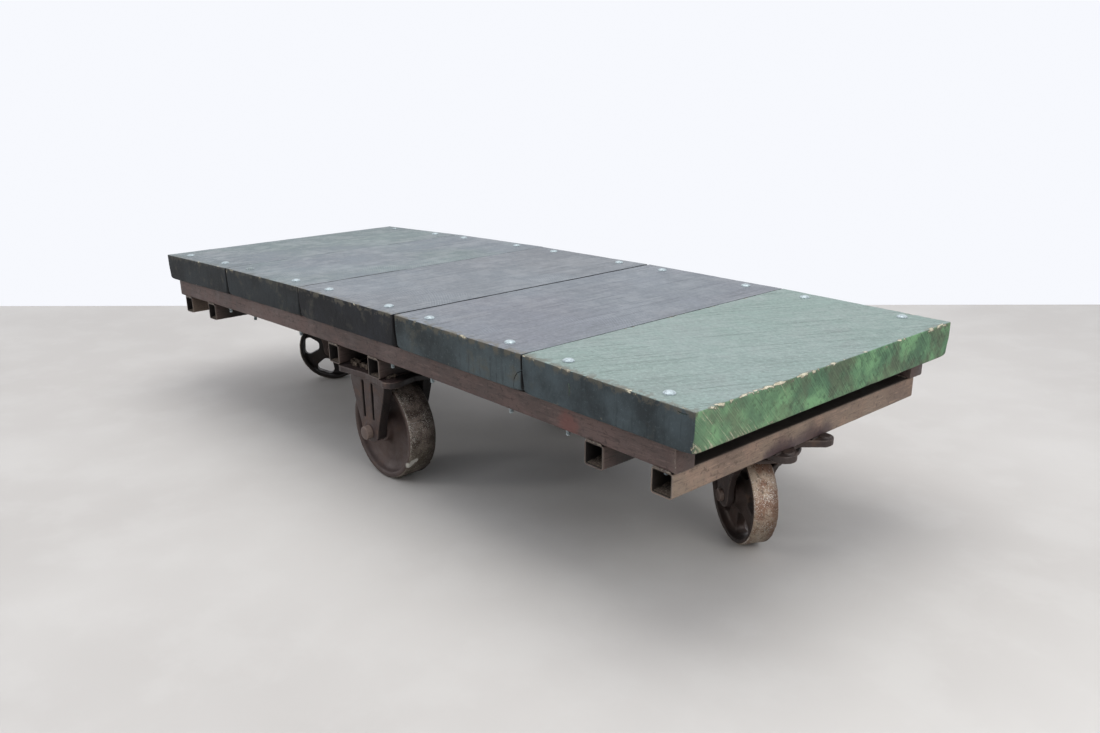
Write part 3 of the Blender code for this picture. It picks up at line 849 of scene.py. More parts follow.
def cut(obj, meshes):
    """Cuts closed shapes, given in the object's own frame, out of it."""
    tools = []
    for mesh in meshes:
        tool = solid("cutter", mesh, obj.matrix_world.copy())
        modifier = obj.modifiers.new("cut", "BOOLEAN")
        modifier.object, modifier.operation, modifier.solver = tool, "DIFFERENCE", "EXACT"
        tools.append(tool)
    bake_modifiers(obj)
    for tool in tools:
        bpy.data.objects.remove(tool)


def plank_cracks(index, half):
    """The cracks that the end grain shows at its near end, as (x, z) paths with a width and a depth."""
    right, low = half.x, -half.z
    if index == 0:
        yield [(0.02, low - 0.001), (0.045, low + 0.0016), (0.085, low - 0.001)], 0.0030, 0.030
    if index == 2:
        yield [(-0.03, 0.020), (-0.028, 0.004), (-0.031, -0.012)], 0.0009, 0.008
    if index == 3:
        path = [(0.0215, -0.002), (0.0215, 0.010), (0.0200, 0.020), (0.0160, 0.028)]
        path += [(0.0090, 0.035), (-0.002, 0.040)]
        yield [(right - d, low + h) for d, h in path], 0.0016, 0.016
    if index == GREEN_PLANK:
        path = [(0.034, 0.008), (0.026, 0.0095), (0.016, 0.008)]
        yield [(right - d, half.z - h) for d, h in path], 0.0022, 0.012
        yield [(-0.075, 0.012), (-0.073, 0.002), (-0.075, -0.010)], 0.0010, 0.008


def build_planks(materials):
    """The worn planks of the deck, the green one last."""
    for index, name in enumerate(PLANKS):
        matrix, half = local_box(name)
        points, faces = box_surface(grid_line(half.x), grid_line(half.y), grid_line(half.z))
        points, wear, seam = shape_plank(index, points, half)
        obj = new_object(f"worn_{name}", (points, faces), matrix, 60)
        attribute(obj, "wear", wear)
        attribute(obj, "seam", seam)
        cracks = [crack_cutter(*crack, -half.y) for crack in plank_cracks(index, half)]
        if cracks:
            cut(obj, cracks)
            shade(obj, 60)
        slot = "green_timber" if index == GREEN_PLANK else "charcoal_timber"
        piece(obj, "frame", materials[index], slot, name)


# ---------------------------------------------------------------- deck bolts

HEAD_HEIGHT = 0.0042
NUT_HEIGHT = 0.0070
NUT_FLATS = 0.0063
SHANK = 0.0040
THREAD_PITCH = 0.0013
CHAMFER = 0.0008
PAINTED_BOLTS = ("deck_bolt_near_03", "deck_bolt_far_01")


def hexed(radius, angle):
    """Reach of a hexagon at an angle, given its reach across the flats."""
    step = pi / 3
    return radius / cos((angle + step / 2) % step - step / 2)


def bolt_loops(nut_top, tail, segments=36):
    """Domed head, shank, chamfered nut and threaded tail, about Z, with the deck surface at zero."""
    nut_end = nut_top - NUT_HEIGHT
    rows = [(0.0006, HEAD_HEIGHT - 0.0001), (0.0040, 0.0038), (0.0068, 0.0031), (0.0088, 0.0021)]
    rows += [(0.0101, 0.0010), (0.0106, 0.0002), (0.0105, -0.0008), (SHANK, -0.0012), (SHANK, nut_top)]
    rows += [(NUT_FLATS - 0.0004, nut_top), (NUT_FLATS, nut_top - CHAMFER), (NUT_FLATS, nut_end + CHAMFER)]
    rows.append((NUT_FLATS - 0.0004, nut_end))
    height = nut_end
    while height - THREAD_PITCH > tail + 0.001:
        rows += [(SHANK - 0.0005, height), (SHANK, height - THREAD_PITCH / 2)]
        height -= THREAD_PITCH
    rows += [(SHANK - 0.0004, tail + 0.0006), (SHANK - 0.0011, tail)]
    loops = []
    for radius, height in rows:
        reaches = [hexed(radius, a) if radius == NUT_FLATS else radius for a in turns(segments)]
        loops.append([(r * cos(a), r * sin(a), height) for r, a in zip(reaches, turns(segments))])
    return loops


def build_bolts(bright, painted):
    rng = random.Random(7)
    for side in SIDES:
        for number in range(1, 11):
            name = f"deck_bolt_{side}_{number:02d}"
            points, turn, low, high = level_points(name, PLANKS[(number - 1) // 2])
            place = Vector(((low[0] + high[0]) / 2, (low[1] + high[1]) / 2, high[2] - HEAD_HEIGHT))
            reach = np.hypot(points[:, 0] - place.x, points[:, 1] - place.y)
            nut = points[(reach > SHANK * 1.3) & (points[:, 2] < place.z - 0.03)]
            loops = bolt_loops(nut[:, 2].max() - place.z, low[2] - place.z + 0.0003)
            rng.random()  # An unused draw, kept so that the heads stay turned as they are.
            spin = Matrix.Rotation(rng.uniform(0, 6.28), 4, "Z")
            matrix = turn @ Matrix.Translation(place) @ spin
            obj = solid(f"carriage_bolt_{side}_{number:02d}", loops_mesh(loops), matrix, 38)
            piece(obj, "frame", painted if name in PAINTED_BOLTS else bright, "zinc_bolt", name)


# ---------------------------------------------------------------- steel frame

RAIL = 0.045
RAIL_SECTIONS = 150
TUBE_WALL = 0.0030


def rail_line(name):
    """Quadratic for the height of a rail's centre line, read from its CAD solid."""
    points = node_points(name)
    stations = np.round(points[:, 0], 2)
    xs, zs = [], []
    for x in np.unique(stations):
        heights = points[stations == x][:, 2]
        if np.ptp(heights) > RAIL * 0.9:
            xs.append(x)
            zs.append((heights.min() + heights.max()) / 2)
    return np.polyfit(xs, zs, 2)


def build_rail(side, material):
    """A sagging rail with dented faces and a smaller, rounder section just outside each end."""
    name = f"rail_{side}"
    low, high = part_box(name)
    line = rail_line(name)
    outline, cap = round_square(RAIL, 0.0050), round_square(RAIL - 0.0040, 0.0040)
    caps = {-1: -0.0008, RAIL_SECTIONS + 1: 0.0008}
    middle = (low.y + high.y) / 2
    loops = []
    for i in range(-1, RAIL_SECTIONS + 2):
        share = min(RAIL_SECTIONS, max(0, i))
        x = low.x + 0.0012 + (high.x - low.x - 0.0024) * share / RAIL_SECTIONS
        turn = atan(np.polyval(np.polyder(line), x))
        loop = []
        for u, v in cap if i in caps else outline:
            dent = 1.0 - 0.012 * max(0.0, 0.6 + fbm((x, u, v), 16, 3, 2.0))
            height = np.polyval(line, x) + v * dent * cos(turn)
            loop.append((x + caps.get(i, 0.0) - v * sin(turn), middle + u * dent, height))
        loops.append(loop)
    frame_steel(solid(f"oxide_{name}", loops_mesh(loops), None, 40), material, name)


def build_crossmember(name, material, number):
    """Open square tube with sawn ends, in its own tilted frame."""
    matrix, half = local_box(name)
    size = 2 * half.x - 0.0002
    spans = ((-1, -0.94, 6), (-0.90, 0.90, 60), (0.94, 1, 6))
    stations = np.concatenate([np.linspace(*span) for span in spans])

    def section(outline, share, inner):
        y = share * (half.y - 0.0006)
        loop = []
        for u, v in outline:
            wander = 0.0005 * fbm((u, v, number), 60, 2) if abs(share) == 1 else 0.0
            dent = 1.0 - (0.0 if inner else 0.010 * max(0.0, 0.5 + fbm((u, y, v + number), 18, 3)))
            loop.append((u * dent, y + wander, v * dent))
        return loop

    outer, inner = round_square(size, 0.0050), round_square(size - 2 * TUBE_WALL, 0.0022)
    loops = [section(outer, s, False) for s in stations]
    loops += [section(inner, s, True) for s in reversed(stations)]
    obj = solid(f"open_{name}", loops_mesh(loops, ring=True), matrix)
    attribute(obj, "inside", np.repeat([0.0, 1.0], len(stations) * len(outer)))
    shade(obj, 40)
    frame_steel(obj, material, name)
    return matrix, half


def dirt_heap(length, width, height, seed):
    """A low lumpy heap with a flat underside, along Y."""
    xs = [width * (i / 14 - 0.5) for i in range(15)]
    ys = [length * (j / 26 - 0.5) for j in range(27)]
    points, faces = box_surface(xs, ys, [0.0, 1.0])
    shaped = []
    for x, y, z in points:
        fade = smoothstep(0.5, 0.34, abs(y) / length) * (0.65 + 0.35 * smoothstep(0.2, 0.5, abs(x) / width))
        lump = 0.45 + 0.75 * fbm((x, y, seed), 70, 3) + 0.35 * fbm((x, y, seed), 260, 2)
        shaped.append((x, y, 0.0002 + z * height * fade * max(0.04, lump)))
    return shaped, faces


def build_tube_dirt(name, matrix, half, material):
    heaps = []
    for end in (-1, 1):
        points, faces = dirt_heap(length=0.11, width=0.0365, height=0.0060, seed=end * 3.0 + half.y)
        heaps.append(([(x, y + end * (half.y - 0.058), z - half.z + 0.0032) for x, y, z in points], faces))
    frame_steel(new_object(f"dirt_in_{name}", joined(heaps), matrix, 60), material)


# ---------------------------------------------------------------- welds

BEAD_STEP = 0.0009
RIPPLE_LENGTH = 0.0032


def bead(start, end, radius, seed, sides=10):
    """Points and faces of one rippled weld bead."""
    start, end = Vector(start), Vector(end)
    along = (end - start).normalized()
    across = along.orthogonal().normalized()
    third = along.cross(across)
    count = max(6, int((end - start).length / BEAD_STEP))
    loops = []
    for i in range(count + 1):
        share = i / count
        middle = start.lerp(end, share)
        sway = 0.0007 * fbm(middle, 90, 2, seed)
        taper = sqrt(max(0.0, 1 - abs(2 * share - 1) ** 8)) * 0.9 + 0.1
        ripple = 0.86 + 0.10 * sin(2 * pi * i * BEAD_STEP / RIPPLE_LENGTH + seed)
        reach = radius * taper * (ripple + 0.26 * fbm(middle, 160, 2, seed))
        loop = []
        for a in turns(sides):
            loop.append(middle + across * (reach * cos(a) + sway) + third * (reach * sin(a) + sway))
        loops.append(loop)
    return loops_mesh(loops)


def build_beads(name, paths, material, matrix=None):
    """One piece for a group of beads. paths holds (start, end, radius) in the piece's own frame."""
    beads = [bead(*path, seed + len(name)) for seed, path in enumerate(paths)]
    frame_steel(solid(name, joined(beads), matrix, 60), material)


def frame_welds(number, matrix, half, material):
    """Beads where a crossmember meets both rails."""
    paths = []
    back = matrix.inverted()
    z = half.z + 0.0008
    for side, sign in SIDES.items():
        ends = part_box(f"rail_{side}")
        outer, inner = (ends[0].y, ends[1].y) if sign < 0 else (ends[1].y, ends[0].y)
        at = [(back @ Vector((matrix.translation.x, y, matrix.translation.z))).y for y in (outer, inner)]
        paths.append(((-0.019, at[0], z), (0.019, at[0], z), 0.0024))
        paths.append(((-0.018, at[1], z), (0.018, at[1], z), 0.0022))
        start, end, low = at[0] - sign * 0.004, at[1] + sign * 0.004, z - 0.0004
        paths += [((x, start, low), (x, end, low), 0.0021) for x in (-0.0200, 0.0200)]
    build_beads(f"weld_crossmember_{number}", paths, material, matrix)


def caster_welds(name, members, frames, material, spans):
    """Beads on the lower edges of crossmembers over a caster's plate. spans are (from, to) along Y."""
    for number in members:
        matrix, half = frames[number]
        edges = (-half.x + 0.0012, half.x - 0.0012)
        z = -half.z - 0.0002
        paths = [((x, low, z), (x, high, z), 0.0023) for low, high in spans for x in edges]
        build_beads(f"weld_{name}_{number}", paths, material, matrix)


def cap_welds(side, material):
    """Beads round the plate that closes a rail at its green end."""
    low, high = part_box(f"rail_{side}")
    x = high.x - 0.0022
    z = float(np.polyval(rail_line(f"rail_{side}"), x))
    reach = RAIL / 2 - 0.0010
    middle = (low.y + high.y) / 2
    corners = [(x, middle + u * reach, z + v * reach) for u, v in ((-1, -1), (1, -1), (1, 1), (-1, 1))]
    paths = [(corners[i], corners[(i + 1) % 4], 0.0012) for i in range(4)]
    build_beads(f"weld_cap_{side}", paths, material)


def lump(centre, radii, seed, cuts=8):
    """Points and faces of one rough lump."""
    line = [2 * i / cuts - 1 for i in range(cuts + 1)]
    points, faces = box_surface(line, line, line)
    shaped = []
    for point in points:
        way = Vector(point).normalized()
        reach = 1.0 + 0.32 * fbm(way, 1.5, 3, seed) + 0.10 * fbm(way, 5.0, 2, seed)
        shaped.append(Vector([c + r * reach * w for c, r, w in zip(centre, radii, way)]))
    return shaped, faces


def build_slag(name, material, low, high, count, size):
    """A crust of weld spatter and caked dirt: rough lumps spread through a box."""
    rng = random.Random(count)
    lumps = []
    for i in range(count):
        centre = [a + (b - a) * rng.random() for a, b in zip(low, high)]
        radii = [size * rng.uniform(0.6, 1.25) for _ in range(3)]
        lumps.append(lump(centre, radii, i + 0.5))
    obj = new_object(name, joined(lumps))
    soften_cast(obj, 0.0011, 2)
    roughen(obj, 0.0006, 420)
    shade(obj, 70)
    frame_steel(obj, material)


# ---------------------------------------------------------------- casters

SPOKES = 5
SPOKE_STEP = 2 * pi / SPOKES
WINDOW_EDGE = (0.0832, 0.0838)


def wheel_matrix(joint_name):
    """Frame at a wheel's centre with Y along its axle."""
    joint = JOINTS[joint_name]
    axis = Vector(joint["axis"]).normalized()
    turn = Matrix.Rotation(atan2(-axis.x, axis.y), 4, "Z")
    return Matrix.Translation(joint["pos_m"]) @ turn


def wheel_masks(obj, radius, half):
    """Marks the tread and the two rim edges, worn smoother and painted with a highlight, by their place."""
    tread, rim = [], []
    for vertex in obj.data.vertices:
        x, y, z = vertex.co
        reach = hypot(x, z)
        outer = smoothstep(radius - 0.0050, radius - 0.0022, reach)
        tread.append(outer * smoothstep(half + 0.001, half - 0.0022, abs(y)))
        rim.append(smoothstep(0.0042, 0.0012, hypot(radius - 0.0012 - reach, half - 0.0012 - abs(y))))
    attribute(obj, "tread", tread)
    attribute(obj, "rim", rim)


def worn_at(place, reach, radius, half, seed, depth):
    """Extra radius and depth at a wheel's point: a pitted tread with nicked edges, and an uneven disc."""
    if reach < radius - 0.006:
        return 0.00025 * fbm(place, 60, 2, seed), 0.0003 * fbm(place, 45, 2, seed + 1)
    pits = depth * max(0.0, 0.35 + fbm(place, 110, 3, seed) + 0.6 * fbm(place, 30, 2, seed + 2))
    at_edge = smoothstep(half - 0.010, half - 0.003, abs(place[1]))
    nick = 0.0014 * max(0.0, fbm(place, 55, 2, seed + 3) - 0.22) * at_edge
    return -pits - nick - 0.0002, 0.0


def wheel_mesh(profile, half, seed, round_off, step, segments, depth):
    """A worn wheel about Y, from one side of its (radius, depth) profile, bore first and tread last."""
    radius = profile[-1][0]
    one_side = rounded(profile, round_off)
    full = dense(one_side + [(r, -y) for r, y in reversed(one_side)], step)
    loops = []
    for angle in turns(segments):
        loop = []
        for reach, y in full:
            more = worn_at(spin_point(reach, y, angle), reach, radius, half, seed, depth)
            loop.append(spin_point(reach + more[0], y + more[1], angle))
        loops.append(loop)
    return loops_mesh(loops, ring=True)


def build_rigid_wheel(side, material, seed):
    name = f"rigid_wheel_{side}"
    low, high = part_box(name)
    radius, hub = (high.z - low.z) / 2, (high.y - low.y) / 2
    half = hub - 0.003
    profile = [(0.0141, hub - 0.0006), (0.0285, hub - 0.0006), (0.0315, 0.0200), (0.0420, 0.0125)]
    profile += [(0.0620, 0.0098), (0.0840, 0.0130), (0.0985, 0.0220), (0.1035, half - 0.0012)]
    profile += [(radius - 0.0040, half), (radius, half - 0.0042)]
    mesh = wheel_mesh(profile, half, seed, round_off=0.0045, step=0.0030, segments=256, depth=0.0007)
    obj = solid(f"cast_wheel_{side}", mesh, wheel_matrix(f"rigid_spin_{side}"), 50)
    wheel_masks(obj, radius, half)
    casting(obj, name, material, name)


def window_outline():
    """One opening of the spoked wheel: broad at the rim, narrow at the hub."""
    outline = []
    arcs = ((0.0705, 0.0125, 0.0130, 0, 112, 12), (0.0520, 0.0045, 0.0105, 112, 180, 7))
    for cx, cy, reach, start, end, steps in arcs:
        for i in range(steps + 1):
            angle = radians(start + (end - start) * i / steps)
            outline.append((cx + reach * cos(angle), cy + reach * sin(angle)))
    return outline + [(x, -y) for x, y in reversed(outline[:-1])][:-1]


def window_turn(side):
    """Angle of the first opening: the mean place, within one spoke step, of the openings' outer ends."""
    matrix = wheel_matrix(f"end_spin_{side}").inverted()
    total = 0j
    for vertex in NODES[f"end_wheel_{side}"].data.vertices:
        p = matrix @ vertex.co
        if WINDOW_EDGE[0] < hypot(p.x, p.z) < WINDOW_EDGE[1] and abs(p.y) < 0.012:
            angle = SPOKES * (atan2(-p.z, p.x) % SPOKE_STEP)
            total += complex(cos(angle), sin(angle))
    return atan2(total.imag, total.real) / SPOKES % SPOKE_STEP


def build_spoked_wheel(side, material, seed):
    name = f"end_wheel_{side}"
    low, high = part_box(name)
    radius = (high.z - low.z) / 2
    half, hub = 0.0255, 0.0290
    profile = [(0.0126, hub - 0.0005), (0.0240, hub - 0.0005), (0.0270, 0.0190), (0.0350, 0.0112)]
    profile += [(0.0600, 0.0090), (0.0820, 0.0088), (0.0868, 0.0150), (0.0885, half - 0.0008)]
    profile += [(radius - 0.0030, half), (radius, half - 0.0032)]
    mesh = wheel_mesh(profile, half, seed, round_off=0.0035, step=0.0032, segments=144, depth=0.0006)
    obj = solid(f"spoked_wheel_{side}", mesh, wheel_matrix(f"end_spin_{side}"))
    first, outline = window_turn(side), window_outline()
    windows = []
    for i in range(SPOKES):
        turn = Matrix.Rotation(first + 2 * pi * i / SPOKES, 3, "Y")
        windows.append(loops_mesh([[turn @ Vector((x, y, z)) for x, z in outline] for y in (-0.05, 0.05)]))
    cut(obj, windows)
    soften_cast(obj, 0.0017, 5)
    shade(obj, 80)
    wheel_masks(obj, radius, half)
    casting(obj, name, material, name)


def soften_cast(obj, voxel, passes):
    melted(obj, voxel, passes)
    roughen(obj, 0.00018, 170)


def ear_pads(middle, along, normal, reach, half_width, shift):
    """A raised pad on each ear, filling its hole, and a boss under it. shift moves the pads outward."""
    extras = []
    for sx in (-1, 1):
        for sy in (-1, 1):
            ear = middle + along * (sx * reach) + Vector((0, sy * half_width, 0))
            pad = ear + Vector((sx * shift, 0, 0))
            extras.append(drum(pad, normal, radius=0.0112, start=-0.006, end=0.0038 if shift else 0.0015))
            extras.append(drum(ear, normal, radius=0.0170, start=-0.0155, end=-0.0010))
    return extras


def build_yoke(side, material):
    """Cast yoke of a rigid caster, with pads on its ears and bosses at its axle."""
    name = f"rigid_yoke_{side}"
    low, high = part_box(name)
    middle = (low + high) / 2
    centre = Vector((middle.x, middle.y, high.z))
    extras = ear_pads(centre, Vector((1, 0, 0)), UP, reach=0.088, half_width=0.053, shift=0.0)
    axle = JOINTS[f"rigid_spin_{side}"]["pos_m"]
    for sign in (-1, 1):
        extras.append(flat_ring(axle, (0, sign, 0), inner=0.0100, outer=0.0225, start=0.060, end=0.0655))
    casting(from_cad(name, f"cast_yoke_{side}", extras, 0.0017), "frame", material, name)


def build_swivel_plate(side, material):
    """Four-eared top plate of a swivel caster."""
    name = f"swivel_plate_{side}"
    turn = tilt_of(name)
    pivot = Vector(JOINTS[f"swivel_{side}"]["pos_m"])
    points = node_points(name)
    near_axis = np.hypot(points[:, 0] - pivot.x, points[:, 1] - pivot.y) < 0.03
    centre = Vector((pivot.x, pivot.y, points[near_axis][:, 2].max()))
    normal = Vector((sin(turn), 0, cos(turn)))
    along = Vector((cos(turn), 0, -sin(turn)))
    extras = ear_pads(centre, along, normal, reach=0.096, half_width=0.056, shift=0.0085)
    casting(from_cad(name, f"cast_plate_{side}", extras, 0.0017), "frame", material, name)


def build_fork(side, material):
    """Swivelling fork, with bosses at its axle."""
    name = f"fork_{side}"
    matrix = wheel_matrix(f"end_spin_{side}")
    extras = []
    for sign in (-1, 1):
        axis = matrix.to_3x3() @ Vector((0, sign, 0))
        boss = flat_ring(matrix.translation, axis, inner=0.0085, outer=0.0185, start=0.042, end=0.0462)
        extras.append(boss)
    casting(from_cad(name, f"cast_fork_{side}", extras, 0.0016), name, material, name)


def axle_loops(radius, face, flats, head, tail, sides=48):
    """Pin along Y with a low domed head on its -Y end and a chamfered threaded tail on the other."""
    top = -face - head
    rows = [(0.001, top), (flats * 0.80, top + 0.0003), (flats * 0.95, top + 0.0011), (flats, top + 0.0030)]
    rows += [(flats, -face - 0.0008), (flats - 0.0008, -face), (radius, -face), (radius, face)]
    y = face
    while y < tail - 0.002:
        rows += [(radius - 0.0001, y), (radius - 0.0007, y + 0.0008)]
        y += 0.0016
    rows += [(radius - 0.0007, tail - 0.0008), (radius - 0.0018, tail), (0.001, tail)]
    return [[spin_point(reach, depth, a) for a in turns(sides)] for reach, depth in rows]


def nut_loops(inner, flats, start, end, sides=48):
    """Chamfered hexagon nut about Y."""
    loops = []
    for a in turns(sides):
        wide, slim = hexed(flats, a), flats - 0.0006
        rows = [(inner, start), (slim, start), (wide, start + 0.0012)]
        rows += [(wide, end - 0.0012), (slim, end), (inner, end)]
        loops.append([spin_point(r, y, a) for r, y in rows])
    return loops


def build_axle(prefix, side, body, material, radius, leg, flats, head, flip=False):
    """The axle bolt and its nut of one caster. leg is the distance from its middle to a leg's outer face."""
    matrix = wheel_matrix(f"{prefix}_spin_{side}")
    if flip:
        matrix = matrix @ Matrix.Rotation(pi, 4, "Z")
    bolt, nut = f"{prefix}_axle_{side}", f"{prefix}_nut_{side}"
    loops = axle_loops(radius, leg + 0.0003, flats * 1.04, head - 0.0004, leg + head + 0.0060)
    pin = solid(f"pin_{bolt}", loops_mesh(loops), matrix)
    roughen(pin, 0.0001, 220)
    shade(pin, 40)
    casting(pin, body, material, bolt)
    loops = nut_loops(radius + 0.0002, flats, leg + 0.0004, leg + head)
    obj = solid(f"worn_{nut}", loops_mesh(loops, ring=True), matrix)
    roughen(obj, 0.00015, 200)
    shade(obj, 35)
    casting(obj, body, material, nut)


def dress_cad(prefix, material):
    """Gives the CAD solids that stay in view their finish."""
    for name, obj in NODES.items():
        if name.startswith(prefix):
            for slot in obj.material_slots:
                slot.material = material


def build_rigid_casters(wheel):
    yoke = cast_iron("yoke_iron", (0.031, 0.021, 0.020), (0.052, 0.034, 0.031), (0.352, 0.318))
    pins = cast_iron("pin_iron", (0.074, 0.053, 0.046), (0.120, 0.086, 0.074))
    for side, seed in (("near", 11), ("far", 23)):
        build_yoke(side, yoke)
        build_rigid_wheel(side, wheel, seed)
        sizes = {"radius": 0.0095, "leg": 0.0640, "flats": 0.0148, "head": 0.016}
        build_axle("rigid", side, "frame", pins, **sizes, flip=side == "far")


def build_swivel_casters(wheels):
    iron = cast_iron("cast_iron")
    for side, seed in (("left", 31), ("right", 47)):
        build_swivel_plate(side, iron)
        build_fork(side, iron)
        build_spoked_wheel(side, wheels[side], seed)
        build_axle("end", side, f"fork_{side}", iron, radius=0.0080, leg=0.0450, flats=0.0120, head=0.010)


def rail_steel():
    """Steel of the rails, with a red smear on the near one."""
    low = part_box("rail_near")[0]
    red = [(Vector((0.706, low.y, low.z + 0.020)), 0.034, (0.17, 0.055, 0.045))]
    return steel("rail_steel", (0.070, 0.046, 0.041), (0.114, 0.076, 0.068), red)


def end_beam_steel():
    """Steel of the green end's beam, dulled by weld heat over the right caster's ears."""
    matrix, half = local_box(CROSSMEMBERS[-1])
    caster = JOINTS["swivel_right"]["pos_m"][1] - matrix.translation.y
    spots = []
    for i, y in enumerate((-0.105, -0.085, -0.062, -0.040, -0.015, 0.020, 0.045, 0.066)):
        spots.append((Vector((half.x, caster + y, -half.z)), 0.024 + 0.010 * (i % 3), (0.078, 0.050, 0.052)))
    colours = (0.190, 0.130, 0.098), (0.268, 0.200, 0.148)
    return steel("end_beam_steel", *colours, spots, seed=9.0, strength=0.8)


def build_frame(welds, soil):
    """The rails and crossmembers, welded. Gives each crossmember's matrix and half sizes."""
    rails = rail_steel()
    for side in SIDES:
        build_rail(side, rails)
        cap_welds(side, welds)
    tube = steel("tube_steel", (0.062, 0.042, 0.037), (0.095, 0.066, 0.056), seed=4.0, deep=(0.366, 0.300))
    left_beam = steel("left_beam_steel", (0.110, 0.078, 0.062), (0.160, 0.120, 0.090), seed=13.0)
    end_beam = end_beam_steel()
    frames = {}
    for number, name in enumerate(CROSSMEMBERS, 1):
        material = {1: left_beam, 6: end_beam}.get(number, tube)
        frames[number] = build_crossmember(name, material, number)
        build_tube_dirt(name, *frames[number], soil)
        frame_welds(number, *frames[number], welds)
    return frames


def build_caster_welds(frames):
    welds = weld_metal("dark_weld_metal", (0.040, 0.030, 0.026), (0.095, 0.072, 0.060))
    for side in SIDES:
        low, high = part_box(f"rigid_yoke_{side}")
        caster_welds(f"yoke_{side}", (3, 4), frames, welds, [(low.y + 0.030, high.y - 0.030)])
    for side, members in (("left", (1, 2)), ("right", (5, 6))):
        y = JOINTS[f"swivel_{side}"]["pos_m"][1]
        spans = [(y - 0.074, y - 0.036), (y + 0.036, y + 0.074)]
        caster_welds(f"plate_{side}", members, frames, welds, spans)


def build_crusts(soil):
    """Slag caked on the near yoke's plate, between the two middle tubes and on one ear."""
    low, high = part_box("rigid_yoke_near")
    near, top = low.y + 0.030, high.z
    left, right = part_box(CROSSMEMBERS[2])[1].x + 0.005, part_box(CROSSMEMBERS[3])[0].x - 0.005
    corners = (left, near - 0.004, top), (right, near + 0.012, top + 0.006)
    build_slag("slag_between_tubes", soil, *corners, count=70, size=0.0046)
    ear = high.x - 0.024
    corners = (ear - 0.040, near - 0.006, top), (ear - 0.012, near + 0.012, top + 0.004)
    build_slag("slag_on_ear", soil, *corners, count=22, size=0.0040)


# ---------------------------------------------------------------- stage

CAMERA_PLACE = Vector((1.8365, -1.4088, 0.8576))
CAMERA_YAW, CAMERA_PITCH, CAMERA_ROLL = 2.4168, 0.2850, 0.0195
FOCAL_PIXELS, FRAME_WIDTH = 969.7, 1100
SENSOR_WIDTH = 36.0
NEAREST_SEEN, FARTHEST_SEEN = 0.05, 60
FLOOR_REACH, FLOOR_DROP = 16, 0.0003
WALL_REACH, WALL_HALF_HEIGHT = 7, 2.5
WALL_DISTANCE = 3.80
WALL_TURN = radians(-4.7)
HORIZON_LIGHT, ZENITH_LIGHT, SEEN_SKY = 0.11, 1.12, 0.85


def build_camera():
    yaw, pitch, roll = CAMERA_YAW, CAMERA_PITCH, CAMERA_ROLL
    forward = Vector((cos(yaw) * cos(pitch), sin(yaw) * cos(pitch), -sin(pitch)))
    right = Vector((sin(yaw), -cos(yaw), 0))
    down = forward.cross(right)
    across = cos(roll) * right + sin(roll) * down
    below = -sin(roll) * right + cos(roll) * down
    data = bpy.data.cameras.new("camera")
    data.sensor_width = SENSOR_WIDTH
    data.lens = FOCAL_PIXELS * SENSOR_WIDTH / FRAME_WIDTH
    data.clip_start, data.clip_end = NEAREST_SEEN, FARTHEST_SEEN
    camera = linked("camera", data)
    turn = Matrix((across, -below, -forward)).transposed()
    camera.matrix_world = Matrix.Translation(CAMERA_PLACE) @ turn.to_4x4()
    bpy.context.scene.camera = camera


def floor_material():
    t = Tree("pale_floor")
    colour = t.mix(t.span(t.noise(0.9, 4, 0.55), 0.40, 0.62), (0.478, 0.456, 0.432), (0.520, 0.500, 0.475))
    colour = t.layers(colour, (t.noise(7, 4, 0.6), 0.45, 0.65, 0.25, (0.556, 0.540, 0.515)))
    t.finish(colour, 0.62, 0.0, None, 0.3)
    return one_sided(t, t.out.inputs["Surface"].links[0].from_socket)


def wall_material():
    t = Tree("white_wall")
    return one_sided(t, t.add("Emission", Color=(0.925, 0.94, 0.985), Strength=1.005).outputs[0])


def one_sided(t, front):
    """Clear from behind, so that a camera at the back or underneath can see past it."""
    both = t.add("MixShader", t.surface("Backfacing"), front, t.add("BsdfTransparent").outputs[0])
    t.put(t.out.inputs["Surface"], both.outputs[0])
    return t.material


def plane(name, centre, across, up, material):
    corners = [centre - across - up, centre + across - up, centre + across + up, centre - across + up]
    obj = new_object(name, (corners, [(0, 1, 2, 3)]))
    obj.data.materials.append(material)


def build_room():
    across, along = Vector((FLOOR_REACH, 0, 0)), Vector((0, FLOOR_REACH, 0))
    plane("floor", UP * -FLOOR_DROP, across, along, floor_material())
    ahead = Vector((cos(CAMERA_YAW), sin(CAMERA_YAW), 0))
    foot = Vector((CAMERA_PLACE.x, CAMERA_PLACE.y, 0)) + ahead * WALL_DISTANCE
    side = Vector((sin(CAMERA_YAW + WALL_TURN), -cos(CAMERA_YAW + WALL_TURN), 0))
    plane("wall", foot + UP * WALL_HALF_HEIGHT, side * WALL_REACH, UP * WALL_HALF_HEIGHT, wall_material())


def area_light(name, place, target, colour, size, power):
    data = bpy.data.lights.new(name, "AREA")
    data.shape, data.size, data.energy, data.color = "DISK", size, power, colour
    obj = linked(name, data)
    obj.location = place
    obj.rotation_mode = "QUATERNION"
    obj.rotation_quaternion = (Vector(place) - Vector(target)).to_track_quat("Z", "Y")


